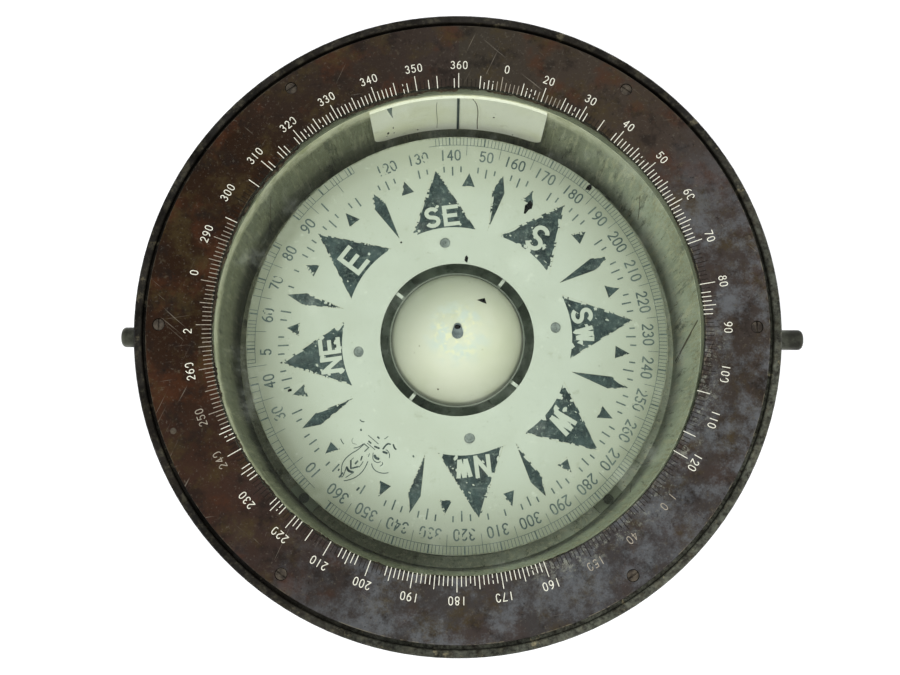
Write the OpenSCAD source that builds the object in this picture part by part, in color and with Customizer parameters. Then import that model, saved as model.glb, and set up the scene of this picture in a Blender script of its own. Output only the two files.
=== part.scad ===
// Liquid-filled ship compass bowl: flanged bowl, glass under an engraved bezel ring,
// conical card with a domed float on a jewelled pivot, and an expansion diaphragm below.
// Origin: centre of the bottom rest face. +Z up, +X through the right trunnion,
// +Y towards the lubber line.

/* [Bowl] */
// Height from the rest face to the top of the bezel
bezel_top = 128; // [126:0.5:132]
// Outer diameter of the bowl's lip
lip_d = 301; // [300.5:0.1:302]
// Inner diameter of the bowl's wall
bore_d = 230; // [229.6:0.1:230.4]
// Thickness of the bowl's wall
wall_t = 6; // [5:0.5:7]
// Height of the bowl casting's lower face above the rest face
bowl_foot = 34; // [33.5:0.5:35]

/* [Trunnions] */
// Drop from the bezel's top to the trunnion axis
trunnion_drop = 47; // [44:1:50]
// Diameter of a trunnion pin
trunnion_d = 10; // [9:0.5:12]
// Distance from the bowl's axis to the right pin's end
right_reach = 172; // [166:1:176]
// Distance from the bowl's axis to the left pin's end
left_reach = 167; // [162:1:172]

/* [Bezel and glass] */
// Outer diameter of the bezel ring
bezel_d = 289.2; // [288:0.2:290]
// Diameter of the bezel's sight opening
sight_d = 228.8; // [226:0.2:229]
// Thickness of the bezel ring where it is screwed down
bezel_t = 6; // [5.5:0.5:7]
// Diameter of the glass
glass_d = 246; // [244:0.5:247]
// Thickness of the glass
glass_t = 6; // [5:0.5:6]
// Radius of the circle of bezel screws
screw_circle_r = 138.4; // [137.5:0.1:139]

/* [Card] */
// Radius of the card's rim
card_r = 107.4; // [105:0.2:108]
// Radius of the hole round the float
hub_r = 38.6; // [37:0.2:40]
// Drop from the bezel's top to the card's rim
rim_drop = 59.5; // [58:0.5:61]
// Height of the card's hole above its rim
card_rise = 10; // [9:0.5:11]
// Thickness of the card
card_t = 0.8; // [0.6:0.1:1]
// Angle from the lubber line round to the card's north, clockwise from above
heading = 217.7; // [0:0.1:360]
// Radius of the circle of card rivets
rivet_circle_r = 49.7; // [48:0.1:51]

/* [Float and pivot] */
// Radius of the float's seam
float_r = 33.2; // [32:0.2:34]
// Height of the dome above the seam
dome_h = 30; // [28:0.5:31]
// Depth of the float below the seam
pan_h = 14; // [13.5:0.5:14.5]
// Drop from the bezel's top to the float's seam
seam_drop = 53; // [52:0.5:54]
// Drop from the bezel's top to the pivot's tip
pivot_drop = 40; // [39.5:0.5:40.5]
// Thickness of the float's sheet
sheet_t = 0.8; // [0.6:0.1:1]

/* [Hidden] */

$fn = 180;
eps = 0.01;
fit_gap = 0.05;

// Colours
bronze = [0.24, 0.20, 0.16];
chocolate = [0.26, 0.17, 0.14];
brass = [0.66, 0.55, 0.30];
cream = [0.84, 0.84, 0.72];
card_white = [0.80, 0.84, 0.74];
steel = [0.35, 0.36, 0.36];
lead_grey = [0.42, 0.43, 0.45];
ruby = [0.70, 0.20, 0.25];
ink = [0.12, 0.14, 0.15];
glass_tint = [0.75, 0.85, 0.80, 0.35];

// Bowl and bezel levels
lip_r = lip_d / 2;
lip_w = 3.6;
lip_top = bezel_top - 2.3;
bore_r = bore_d / 2;
wall_r = bore_r + wall_t;
flange_top = bezel_top - bezel_t;
seat_top = bezel_top - 14;
seat_r = 124;
flange_foot = bezel_top - 16;
fillet_r = 7;
ledge_r = bore_r - 6;
ledge_top = bowl_foot + 6;
foot_r = 131;
foot_top = bowl_foot + 8;

// Glass and its gaskets, filling the space between the seat and the bezel's inner flange
inner_flange_t = 3;
stack_h = bezel_top - inner_flange_t - seat_top;
gasket_t = (stack_h - glass_t) / 2;
glass_foot = seat_top + gasket_t;
gasket_in_r = bore_r + 0.2;
gasket_out_r = seat_r - 0.4;

// Bezel screws and dowels
screw_angles = [35, 90, 145, 215, 270, 325];
dowel_places = [[72.7, 142], [249.3, 139]];
head_r = 2.6;
head_h = 1.9;
counterbore_r = 2.9;
counterbore_h = 2.4;
screw_r = 1.6;
screw_len = 12;
dowel_r = 1.5;
dowel_len = 11;

// Trunnions
trunnion_r = trunnion_d / 2;
trunnion_z = bezel_top - trunnion_drop;
boss_r = 12;
boss_x = 141;
spigot_r = 4;
spigot_x = boss_x - 17;
pin_round = 2.2;

// Lubber plate and line
plate_t = 1.4;
plate_half_angle = 22;
plate_top = bezel_top - 15;
plate_foot = bezel_top - 66;
plate_corner = 7;
line_t = 0.4;
line_w = 1.2;

// Filler plug, on the side away from the lubber line
plug_z = 62;
plug_r = 4;
plug_boss_r = 10;
plug_boss_y = wall_r + 4;
plug_head_r = 7.5;
plug_head_h = 5;
plug_washer_t = 1;

// Card: a shallow cone, given by the level of its upper face
rim_z = bezel_top - rim_drop;
hub_z = rim_z + card_rise;
slope = card_rise / (card_r - hub_r);
slope_angle = atan(slope);
frame_t = 1;
frame_in_r = 44;
frame_out_r = 55;
rivet_head_r = 2.75;
rivet_head_h = 0.9;
rivet_r = 1.2;
spoke_w = 1.7;
collar_w = 0.8;
collar_h = 3;

// Float
seam_z = bezel_top - seam_drop;
dome_r = (pow(float_r, 2) + pow(dome_h, 2)) / (2 * dome_h);
pan_full_h = 16;
pan_r = (pow(float_r, 2) + pow(pan_full_h, 2)) / (2 * pan_full_h);
pan_z = seam_z - pan_h;
stud_r = 2.6;
stud_h = 1.4;
stud_neck_r = 1.6;
stud_neck_h = 3;
pan_mouth_r = 11;
pan_flange_r = 18;
tube_wall = 1.2;
tube_top = bezel_top - 34;

// Pivot and bearing
pivot_z = bezel_top - pivot_drop;
jewel_r = 3;
jewel_cut = 1.5;
cup_angle = 50;
holder_r = 5;
holder_foot = pivot_z - 2.5;
holder_top = tube_top - 1;
pin_r = 1;
pin_taper_h = 4;
pin_len = 12;
tip_r = 0.05;
tip_gap = 0.02;
stem_top = pivot_z - 7;
stem_r = 3;
stem_base_r = 4;

// Magnets, below the float and parallel to the card's north line
carrier_t = 2;
carrier_in_r = 12;
carrier_out_r = 30;
magnet_w = 5;
magnet_rows = [[13.5, 52], [21.5, 40]];
magnet_top = pan_z - carrier_t;
strap_t = 1;
strap_y = 14;
strap_w = 6;
strap_len = 50;
strap_screw_x = 17.5;
strap_screw_r = 1.1;
strap_head_r = 2;
strap_head_h = 1.2;

// Bridge that carries the stem
bridge_t = 4;
bridge_z = ledge_top;
bridge_w = 16;
bridge_hub_r = 22;
bridge_end_r = bore_r - 0.5;
bridge_screw_circle_r = 112;
bridge_screw_r = 1.5;
bridge_head_r = 2.6;
bridge_head_h = 1.6;
bridge_bite = 4;
nut_r = 7;
nut_t = 3.2;

// Expansion diaphragm and the ring that clamps it
gasket_sheet_t = 1;
skin_t = 0.4;
skin_top = bowl_foot - gasket_sheet_t;
wave_in_r = 40;
wave_out_r = 104;
wave_h = 1.5;
waves = 4;
steps_per_wave = 10;
stiffener_r = 34;
stiffener_t = 1.2;
clamp_t = 3.6;
clamp_top = skin_top - skin_t;
clamp_foot = clamp_top - clamp_t;
clamp_in_r = 110;
clamp_screw_circle_r = 114.5;
clamp_screw_r = 1.5;
clamp_head_r = 2.6;
clamp_head_h = 1.6;
clamp_bite = 4.5;

// Bottom cover and its lead weight
cover_t = 2.6;
cover_flange_in_r = 121;
cover_floor_r = 104;
cover_corner = 6;
vent_r = 2;
vent_circle_r = 30;
cover_screw_circle_r = 126;
cover_screw_r = 1.8;
cover_head_r = 3.2;
cover_head_h = 2;
cover_flange_t = 2.6;
cover_bite = 6;
lead_in_r = 52;
lead_out_r = 92;
lead_t = 10;
weight_circle_r = (lead_in_r + lead_out_r) / 2;
weight_screw_r = 1.5;
weight_head_r = 3;
weight_head_h = 1.8;
weight_bite = 2;

// Evenly spaced angles
function spread(count, first = 0) = [for (k = [0:count - 1]) first + k * 360 / count];

quarter_angles = spread(4, 45);
clamp_angles = spread(8, 22.5);
cover_angles = spread(8);

// A flat ring between two radii and two levels
module ring(r_in, r_out, z_low, z_high) {
    translate([0, 0, z_low])
        difference() {
            cylinder(r = r_out, h = z_high - z_low);
            translate([0, 0, -1])
                cylinder(r = r_in, h = z_high - z_low + 2);
        }
}

// Children stood on a circle, at angles clockwise from +Y
module around(radius, angles) {
    for (angle = angles)
        rotate([0, 0, -angle])
            translate([0, radius, 0])
                children();
}

// Points along an arc
function arc(centre, radius, from, to, steps = 6) = [
    for (k = [0:steps])
        let (angle = from + (to - from) * k / steps)
            [centre[0] + radius * cos(angle), centre[1] + radius * sin(angle)]
];

// A slotted screw whose head's top is at z = 0, pointing down
module slotted_screw(head_radius, head_height, shank_radius, total_length, slot_w = 0.8) {
    difference() {
        union() {
            translate([0, 0, -head_height])
                cylinder(r = head_radius, h = head_height, $fn = 48);
            translate([0, 0, -total_length])
                cylinder(r = shank_radius, h = total_length - head_height + eps, $fn = 48);
        }
        translate([-head_radius - 1, -slot_w / 2, -head_height * 0.5])
            cube([2 * head_radius + 2, slot_w, head_height]);
    }
}

// Vertical holes on a circle
module holes(radius, angles, hole_radius, z_low, z_high) {
    around(radius, angles)
        translate([0, 0, z_low])
            cylinder(r = hole_radius, h = z_high - z_low, $fn = 48);
}

module clamp_holes(z_low, z_high) {
    holes(clamp_screw_circle_r, clamp_angles, clamp_screw_r, z_low, z_high);
}

module cover_holes(z_low, z_high) {
    holes(cover_screw_circle_r, cover_angles, cover_screw_r, z_low, z_high);
}

// The card's own frame: +Y along its north
module on_card() {
    rotate([0, 0, -heading])
        children();
}

// A cone shell under the card's upper face, given by its depth below that face
module card_cone(r_in, r_out, depth, thickness) {
    rotate_extrude()
        polygon([
            [r_in, card_z(r_in) - depth],
            [r_out, card_z(r_out) - depth],
            [r_out, card_z(r_out) - depth - thickness],
            [r_in, card_z(r_in) - depth - thickness]
        ]);
}

// Level of the card's upper face
function card_z(radius) = hub_z - (radius - hub_r) * slope;

// Children set square to the card's face at the rivets
module at_rivets() {
    around(rivet_circle_r, quarter_angles)
        translate([0, 0, card_z(rivet_circle_r)])
            rotate([-slope_angle, 0, 0])
                children();
}

module bowl() {
    color(bronze)
        difference() {
            union() {
                rotate_extrude()
                    polygon(concat(
                        [
                            [ledge_r, bowl_foot],
                            [ledge_r, ledge_top],
                            [bore_r, ledge_top],
                            [bore_r, seat_top],
                            [seat_r, seat_top],
                            [seat_r, flange_top],
                            [lip_r - lip_w, flange_top],
                            [lip_r - lip_w, lip_top - 0.4],
                            [lip_r - lip_w + 0.4, lip_top],
                            [lip_r - 0.6, lip_top],
                            [lip_r, lip_top - 0.6],
                            [lip_r, flange_foot + 1.5],
                            [lip_r - 1.5, flange_foot]
                        ],
                        arc([wall_r + fillet_r, flange_foot - fillet_r], fillet_r, 90, 180),
                        arc([wall_r + 4, foot_top + 4], 4, 180, 270),
                        [
                            [foot_r - 1, foot_top],
                            [foot_r, foot_top - 1],
                            [foot_r, bowl_foot]
                        ]
                    ));
                for (side = [-1, 1])
                    translate([side * (wall_r - 2), 0, trunnion_z])
                        rotate([0, side * 90, 0])
                            cylinder(r = boss_r, h = boss_x - wall_r + 2, $fn = 72);
                translate([0, -wall_r + 2, plug_z])
                    rotate([90, 0, 0])
                        cylinder(r = plug_boss_r, h = plug_boss_y - wall_r + 2, $fn = 72);
            }
            for (side = [-1, 1])
                translate([side * spigot_x, 0, trunnion_z])
                    rotate([0, side * 90, 0])
                        cylinder(r = spigot_r, h = 40, $fn = 72);
            translate([0, -bore_r + 3, plug_z])
                rotate([90, 0, 0])
                    cylinder(r = plug_r, h = 30, $fn = 72);
            holes(screw_circle_r, screw_angles, screw_r, bezel_top - screw_len - 1, bezel_top);
            for (place = dowel_places)
                holes(place[1], [place[0]], dowel_r, bezel_top - dowel_len - 1, bezel_top);
            holes(bridge_screw_circle_r, quarter_angles, bridge_screw_r,
                ledge_top - bridge_bite - 0.5, ledge_top + 1);
            clamp_holes(bowl_foot - 1, bowl_foot + clamp_bite + 0.5);
            cover_holes(bowl_foot - 1, bowl_foot + cover_bite + 0.5);
        }
}

// A trunnion pin along +X: thin spigot in the boss, full diameter outside, rounded end
module trunnion_pin(reach) {
    translate([0, 0, trunnion_z])
        rotate([0, 90, 0])
            rotate_extrude($fn = 72)
                polygon(concat(
                    [
                        [0, spigot_x + 0.5],
                        [spigot_r, spigot_x + 0.5],
                        [spigot_r, boss_x],
                        [trunnion_r, boss_x]
                    ],
                    arc([trunnion_r - pin_round, reach - pin_round], pin_round, 0, 90),
                    [[0, reach]]
                ));
}

module trunnion_pin_right() {
    color(steel)
        trunnion_pin(right_reach);
}

module trunnion_pin_left() {
    color(steel)
        mirror([1, 0, 0])
            trunnion_pin(left_reach);
}

module lower_gasket() {
    color(cream)
        ring(gasket_in_r, gasket_out_r, seat_top, glass_foot);
}

module top_glass() {
    color(glass_tint)
        translate([0, 0, glass_foot])
            cylinder(r = glass_d / 2, h = glass_t);
}

module upper_gasket() {
    color(cream)
        ring(gasket_in_r, gasket_out_r, glass_foot + glass_t, bezel_top - inner_flange_t);
}

module bezel_ring() {
    color(chocolate)
        difference() {
            rotate_extrude()
                polygon([
                    [sight_d / 2, bezel_top - inner_flange_t],
                    [sight_d / 2, bezel_top - 0.4],
                    [sight_d / 2 + 0.4, bezel_top],
                    [bezel_d / 2 - 0.5, bezel_top],
                    [bezel_d / 2, bezel_top - 0.5],
                    [bezel_d / 2, flange_top],
                    [seat_r + 0.3, flange_top],
                    [seat_r + 0.3, bezel_top - inner_flange_t]
                ]);
            holes(screw_circle_r, screw_angles, screw_r, flange_top - 1, bezel_top);
            holes(screw_circle_r, screw_angles, counterbore_r, bezel_top - counterbore_h, bezel_top + 1);
            for (place = dowel_places)
                holes(place[1], [place[0]], dowel_r, flange_top - 1, bezel_top + 1);
        }
}

module bezel_screws() {
    color(steel)
        around(screw_circle_r, screw_angles)
            translate([0, 0, bezel_top - counterbore_h + head_h])
                slotted_screw(head_r, head_h, screw_r, screw_len - counterbore_h + head_h);
}

module bezel_dowels() {
    color(brass)
        for (place = dowel_places)
            holes(place[1], [place[0]], dowel_r, bezel_top - dowel_len, bezel_top - 0.4);
}

module lubber_plate() {
    half_w = bore_r * sin(plate_half_angle);
    color(cream)
        intersection() {
            ring(bore_r - plate_t, bore_r, plate_foot, plate_top);
            rotate([90, 0, 180])
                linear_extrude(height = bore_r + 5)
                    union() {
                        translate([-half_w, plate_foot + plate_corner])
                            square([2 * half_w, plate_top - plate_foot]);
                        translate([-half_w + plate_corner, plate_foot])
                            square([2 * (half_w - plate_corner), plate_top - plate_foot]);
                        for (side = [-1, 1])
                            translate([side * (half_w - plate_corner), plate_foot + plate_corner])
                                circle(r = plate_corner, $fn = 48);
                    }
        }
}

module lubber_line() {
    color(ink)
        intersection() {
            ring(bore_r - plate_t - line_t, bore_r - plate_t, plate_foot + 1, plate_top);
            translate([-line_w / 2, 0, 0])
                cube([line_w, bore_r, bezel_top]);
        }
}

module filler_plug() {
    color(brass)
        translate([0, -plug_boss_y - plug_washer_t - plug_head_h, plug_z])
            rotate([90, 0, 0])
                slotted_screw(plug_head_r, plug_head_h, plug_r,
                    plug_boss_y + plug_washer_t + plug_head_h - bore_r, 1.6);
}

module filler_washer() {
    color(steel)
        translate([0, -plug_boss_y, plug_z])
            rotate([90, 0, 0])
                ring(plug_r, plug_head_r + 1, 0, plug_washer_t);
}

module card_disc() {
    color(card_white)
        on_card()
            difference() {
                card_cone(hub_r, card_r, 0, card_t);
                at_rivets()
                    cylinder(r = rivet_r, h = 10, center = true, $fn = 48);
            }
}

module card_frame() {
    color(card_white)
        on_card()
            difference() {
                union() {
                    card_cone(frame_in_r, frame_out_r, card_t, frame_t);
                    ring(float_r, float_r + collar_w, seam_z - collar_h / 2, seam_z + collar_h / 2);
                    for (angle = spread(4))
                        rotate([0, 0, angle])
                            rotate([90, 0, 90])
                                linear_extrude(height = spoke_w, center = true)
                                    polygon([
                                        [float_r + collar_w / 2, seam_z],
                                        [frame_in_r + 1, card_z(frame_in_r + 1) - card_t - frame_t],
                                        [frame_in_r + 1, card_z(frame_in_r + 1) - card_t - 0.1],
                                        [float_r + collar_w / 2, seam_z + frame_t]
                                    ]);
                }
                at_rivets()
                    cylinder(r = rivet_r, h = 10, center = true, $fn = 48);
            }
}

module card_rivets() {
    tail = card_t + frame_t + 0.8;
    color(brass)
        on_card()
            at_rivets() {
                cylinder(r = rivet_head_r, h = rivet_head_h, $fn = 48);
                translate([0, 0, -tail])
                    cylinder(r = rivet_r, h = tail + eps, $fn = 48);
            }
}

// Part of a spherical shell above the plane z = 0; the sphere passes through the seam
module cap_shell(sphere_r, height) {
    translate([0, 0, height - sphere_r])
        difference() {
            sphere(r = sphere_r);
            sphere(r = sphere_r - sheet_t);
        }
}

module float_dome() {
    color(cream)
        difference() {
            intersection() {
                translate([0, 0, seam_z])
                    cap_shell(dome_r, dome_h);
                translate([0, 0, seam_z])
                    cylinder(r = float_r + 1, h = dome_h + 1);
            }
            translate([0, 0, seam_z + dome_h - 5])
                cylinder(r = stud_neck_r, h = 10, $fn = 48);
        }
}

module float_stud() {
    slot_w = 0.8;
    color(steel)
        translate([0, 0, seam_z + dome_h])
            difference() {
                union() {
                    cylinder(r = stud_r, h = stud_h, $fn = 48);
                    translate([0, 0, -stud_neck_h])
                        cylinder(r = stud_neck_r, h = stud_neck_h + eps, $fn = 48);
                }
                translate([-stud_r - 1, -slot_w / 2, stud_h / 2])
                    cube([2 * stud_r + 2, slot_w, stud_h]);
            }
}

module float_pan() {
    cone_h = holder_foot - pan_z;
    bearing_r = holder_r + fit_gap;
    tube_r = bearing_r + tube_wall;
    color(cream)
        difference() {
            union() {
                intersection() {
                    translate([0, 0, seam_z])
                        mirror([0, 0, 1])
                            cap_shell(pan_r, pan_full_h);
                    translate([0, 0, pan_z])
                        cylinder(r = float_r + 1, h = pan_h);
                }
                translate([0, 0, pan_z])
                    cylinder(r = pan_flange_r, h = 1);
                translate([0, 0, pan_z])
                    cylinder(r1 = pan_mouth_r + sheet_t, r2 = tube_r, h = cone_h);
                translate([0, 0, holder_foot - eps])
                    cylinder(r = tube_r, h = tube_top - holder_foot + 1);
            }
            translate([0, 0, pan_z - eps])
                cylinder(r1 = pan_mouth_r, r2 = bearing_r, h = cone_h + eps);
            translate([0, 0, holder_foot - eps])
                cylinder(r = bearing_r, h = holder_top + fit_gap - holder_foot + eps);
        }
}

module magnet_carrier() {
    color(brass)
        on_card()
            difference() {
                ring(carrier_in_r, carrier_out_r, magnet_top, pan_z);
                for (x = [-1, 1], y = [-1, 1])
                    translate([x * strap_screw_x, y * strap_y, magnet_top - 1])
                        cylinder(r = strap_screw_r, h = carrier_t + 2, $fn = 36);
            }
}

module magnets() {
    color(steel)
        on_card()
            for (row = magnet_rows, side = [-1, 1])
                translate([side * row[0] - magnet_w / 2, -row[1] / 2, magnet_top - magnet_w])
                    cube([magnet_w, row[1], magnet_w]);
}

module magnet_straps() {
    color(brass)
        on_card()
            for (side = [-1, 1])
                difference() {
                    translate([-strap_len / 2, side * strap_y - strap_w / 2, magnet_top - magnet_w - strap_t])
                        cube([strap_len, strap_w, strap_t]);
                    for (x = [-1, 1])
                        translate([x * strap_screw_x, side * strap_y, magnet_top - magnet_w - strap_t - 1])
                            cylinder(r = strap_screw_r, h = strap_t + 2, $fn = 36);
                    cylinder(r = carrier_in_r, h = magnet_top);
                }
}

module strap_screws() {
    color(brass)
        on_card()
            for (x = [-1, 1], y = [-1, 1])
                translate([x * strap_screw_x, y * strap_y, magnet_top - magnet_w - strap_t - strap_head_h])
                    mirror([0, 0, 1])
                        slotted_screw(strap_head_r, strap_head_h, strap_screw_r,
                            strap_head_h + strap_t + magnet_w + carrier_t - 0.2, 0.6);
}

module jewel() {
    color(ruby)
        difference() {
            translate([0, 0, pivot_z])
                sphere(r = jewel_r, $fn = 72);
            translate([0, 0, pivot_z - jewel_cut - jewel_r])
                cube([4 * jewel_r, 4 * jewel_r, 2 * jewel_r], center = true);
            translate([0, 0, pivot_z - jewel_r])
                cylinder(r1 = jewel_r * tan(cup_angle), r2 = 0, h = jewel_r, $fn = 72);
        }
}

module jewel_holder() {
    color(brass)
        difference() {
            translate([0, 0, holder_foot])
                cylinder(r = holder_r, h = holder_top - holder_foot, $fn = 72);
            translate([0, 0, pivot_z])
                sphere(r = jewel_r + fit_gap, $fn = 72);
        }
}

module pivot_pin() {
    tip_z = pivot_z - tip_gap;
    color(steel)
        rotate_extrude($fn = 48)
            polygon([
                [0, tip_z - pin_len],
                [pin_r, tip_z - pin_len],
                [pin_r, tip_z - pin_taper_h],
                [tip_r, tip_z],
                [0, tip_z]
            ]);
}

module pivot_stem() {
    color(brass)
        rotate_extrude($fn = 72)
            polygon([
                [0, bridge_z - nut_t - 0.8],
                [stem_base_r, bridge_z - nut_t - 0.8],
                [stem_base_r, bridge_z + bridge_t],
                [stem_base_r + 4, bridge_z + bridge_t],
                [stem_base_r + 4, bridge_z + bridge_t + 1.5],
                [stem_base_r, bridge_z + bridge_t + 3],
                [stem_base_r, pan_z - 6],
                [stem_r, pan_z],
                [stem_r, stem_top - 4],
                [pin_r + 1, stem_top],
                [pin_r, stem_top],
                [pin_r, pivot_z - tip_gap - pin_len],
                [0, pivot_z - tip_gap - pin_len]
            ]);
}

module stem_nut() {
    color(brass)
        difference() {
            translate([0, 0, bridge_z - nut_t])
                cylinder(r = nut_r, h = nut_t, $fn = 6);
            translate([0, 0, bridge_z - nut_t - 1])
                cylinder(r = stem_base_r, h = nut_t + 2, $fn = 72);
        }
}

module pivot_bridge() {
    color(bronze)
        difference() {
            union() {
                translate([0, 0, bridge_z])
                    cylinder(r = bridge_hub_r, h = bridge_t);
                intersection() {
                    for (angle = [45, 135])
                        rotate([0, 0, angle])
                            translate([-bore_r, -bridge_w / 2, bridge_z])
                                cube([bore_d, bridge_w, bridge_t]);
                    cylinder(r = bridge_end_r, h = bezel_top);
                }
            }
            translate([0, 0, bridge_z - 1])
                cylinder(r = stem_base_r, h = bridge_t + 2, $fn = 72);
            holes(bridge_screw_circle_r, quarter_angles, bridge_screw_r,
                bridge_z - 1, bridge_z + bridge_t + 1);
        }
}

module bridge_screws() {
    color(brass)
        around(bridge_screw_circle_r, quarter_angles)
            translate([0, 0, bridge_z + bridge_t + bridge_head_h])
                slotted_screw(bridge_head_r, bridge_head_h, bridge_screw_r,
                    bridge_head_h + bridge_t + bridge_bite);
}

// Level of the diaphragm's middle surface below its flat zones
function wave_z(radius) = wave_h * (1 - cos(360 * waves * (radius - wave_in_r) / (wave_out_r - wave_in_r))) / 2;

module diaphragm_gasket() {
    color(ink)
        difference() {
            ring(clamp_in_r, foot_r, skin_top, bowl_foot);
            clamp_holes(skin_top - 1, bowl_foot + 1);
            cover_holes(skin_top - 1, bowl_foot + 1);
        }
}

module diaphragm() {
    count = waves * steps_per_wave;
    radii = [for (k = [0:count]) wave_in_r + (wave_out_r - wave_in_r) * k / count];
    color(brass)
        difference() {
            rotate_extrude()
                polygon(concat(
                    [[0, skin_top]],
                    [for (r = radii) [r, skin_top - wave_z(r)]],
                    [[foot_r, skin_top], [foot_r, skin_top - skin_t]],
                    [for (k = [0:count]) let (r = radii[count - k]) [r, skin_top - wave_z(r) - skin_t]],
                    [[0, skin_top - skin_t]]
                ));
            clamp_holes(clamp_top - 1, skin_top + 1);
            cover_holes(clamp_top - 1, skin_top + 1);
        }
}

module diaphragm_plate() {
    color(brass)
        translate([0, 0, skin_top - skin_t - stiffener_t])
            cylinder(r = stiffener_r, h = stiffener_t);
}

module clamp_ring() {
    color(bronze)
        difference() {
            ring(clamp_in_r, foot_r, clamp_foot, clamp_top);
            clamp_holes(clamp_foot - 1, clamp_top + 1);
            cover_holes(clamp_foot - 1, clamp_top + 1);
        }
}

module clamp_screws() {
    reach = clamp_t + skin_t + gasket_sheet_t + clamp_bite;
    color(brass)
        around(clamp_screw_circle_r, clamp_angles)
            translate([0, 0, clamp_foot - clamp_head_h])
                mirror([0, 0, 1])
                    slotted_screw(clamp_head_r, clamp_head_h, clamp_screw_r, clamp_head_h + reach);
}

module bottom_cover() {
    corner = [cover_floor_r - cover_corner, cover_corner];
    color(bronze)
        difference() {
            rotate_extrude()
                polygon(concat(
                    [[0, 0]],
                    arc(corner, cover_corner, -90, -20, 5),
                    [
                        [cover_flange_in_r + 1, clamp_foot - cover_flange_t],
                        [foot_r - 0.6, clamp_foot - cover_flange_t],
                        [foot_r, clamp_foot - cover_flange_t + 0.6],
                        [foot_r, clamp_foot],
                        [cover_flange_in_r - 0.6, clamp_foot]
                    ],
                    arc(corner, cover_corner - cover_t, -20, -90, 5),
                    [[0, cover_t]]
                ));
            cover_holes(clamp_foot - cover_flange_t - 1, clamp_foot + 1);
            holes(vent_circle_r, spread(3), vent_r, -1, cover_t + 1);
            holes(weight_circle_r, quarter_angles, weight_screw_r, cover_t - weight_bite, cover_t + 1);
        }
}

module cover_screws() {
    reach = cover_flange_t + clamp_t + skin_t + gasket_sheet_t + cover_bite;
    color(brass)
        around(cover_screw_circle_r, cover_angles)
            translate([0, 0, clamp_foot - cover_flange_t - cover_head_h])
                mirror([0, 0, 1])
                    slotted_screw(cover_head_r, cover_head_h, cover_screw_r, cover_head_h + reach);
}

module lead_weight() {
    color(lead_grey)
        difference() {
            ring(lead_in_r, lead_out_r, cover_t, cover_t + lead_t);
            holes(weight_circle_r, quarter_angles, weight_screw_r, cover_t - 1, cover_t + lead_t + 1);
        }
}

module weight_screws() {
    color(brass)
        around(weight_circle_r, quarter_angles)
            translate([0, 0, cover_t + lead_t + weight_head_h])
                slotted_screw(weight_head_r, weight_head_h, weight_screw_r,
                    weight_head_h + lead_t + weight_bite);
}

bowl();
trunnion_pin_right();
trunnion_pin_left();
lower_gasket();
top_glass();
upper_gasket();
bezel_ring();
bezel_screws();
bezel_dowels();
lubber_plate();
lubber_line();
filler_plug();
filler_washer();
card_disc();
card_frame();
card_rivets();
float_dome();
float_stud();
float_pan();
magnet_carrier();
magnets();
magnet_straps();
strap_screws();
jewel();
jewel_holder();
pivot_pin();
pivot_stem();
stem_nut();
pivot_bridge();
bridge_screws();
diaphragm_gasket();
diaphragm();
diaphragm_plate();
clamp_ring();
clamp_screws();
bottom_cover();
cover_screws();
lead_weight();
weight_screws();
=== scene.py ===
"""Looks of a ship compass bowl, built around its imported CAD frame.

Shapes are given in millimetres in the CAD's own frame and turned into metres where a mesh is made.
Angles are in degrees clockwise from +Y, seen from above, as on the compass itself.
"""

import math
import random

import bmesh
import bpy
from mathutils import Matrix, Vector
from mathutils.geometry import delaunay_2d_cdt


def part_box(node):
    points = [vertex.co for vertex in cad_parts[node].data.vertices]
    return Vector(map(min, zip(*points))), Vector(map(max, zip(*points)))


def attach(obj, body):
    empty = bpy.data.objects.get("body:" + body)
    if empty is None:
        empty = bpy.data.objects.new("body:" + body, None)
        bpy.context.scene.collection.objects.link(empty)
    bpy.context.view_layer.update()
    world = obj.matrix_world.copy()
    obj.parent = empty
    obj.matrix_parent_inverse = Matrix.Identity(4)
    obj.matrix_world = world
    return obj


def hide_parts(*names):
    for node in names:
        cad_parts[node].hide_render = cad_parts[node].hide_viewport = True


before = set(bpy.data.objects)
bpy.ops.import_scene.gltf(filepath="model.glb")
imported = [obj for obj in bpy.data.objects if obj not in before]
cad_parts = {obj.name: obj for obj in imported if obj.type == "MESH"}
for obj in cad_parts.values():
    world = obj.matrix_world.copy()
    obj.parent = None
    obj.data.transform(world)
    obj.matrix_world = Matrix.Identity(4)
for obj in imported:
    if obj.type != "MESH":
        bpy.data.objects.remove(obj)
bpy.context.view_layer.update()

MM = 0.001
TURN = 2 * math.pi


# ---------------------------------------------------------------- sizes from the frame

def top_of(node):
    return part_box(node)[1].z / MM


def foot_of(node):
    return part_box(node)[0].z / MM


def radii(node):
    """Smallest and largest distance of a node's corners from the bowl's axis."""
    reach = [math.hypot(v.co.x, v.co.y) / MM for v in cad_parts[node].data.vertices]
    return min(reach), max(reach)


BEZEL_TOP = top_of("bezel_ring")
BEZEL_FOOT = foot_of("bezel_ring")
SIGHT_R, BEZEL_R = radii("bezel_ring")
GLASS_TOP = top_of("top_glass")
GASKET_IN_R, GASKET_OUT_R = radii("lower_gasket")
WALL_R = GASKET_IN_R - 0.2
LIP_TOP = top_of("bowl")
CARD_IN_R, CARD_R = radii("card_disc")
CARD_TOP = top_of("card_disc")
CARD_THICKNESS = 0.8
CARD_RISE = CARD_TOP - foot_of("card_disc") - CARD_THICKNESS
PLATE_R = radii("lubber_plate")[0]
FLOAT_R = radii("float_dome")[1]
DOME_TOP = top_of("float_dome")
DOME_FOOT = foot_of("float_dome")
# Where the card's north points at rest
HEADING = 217.7


# ---------------------------------------------------------------- flat outlines

def polar(radius, angle):
    a = math.radians(angle)
    return radius * math.sin(a), radius * math.cos(a)


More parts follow.
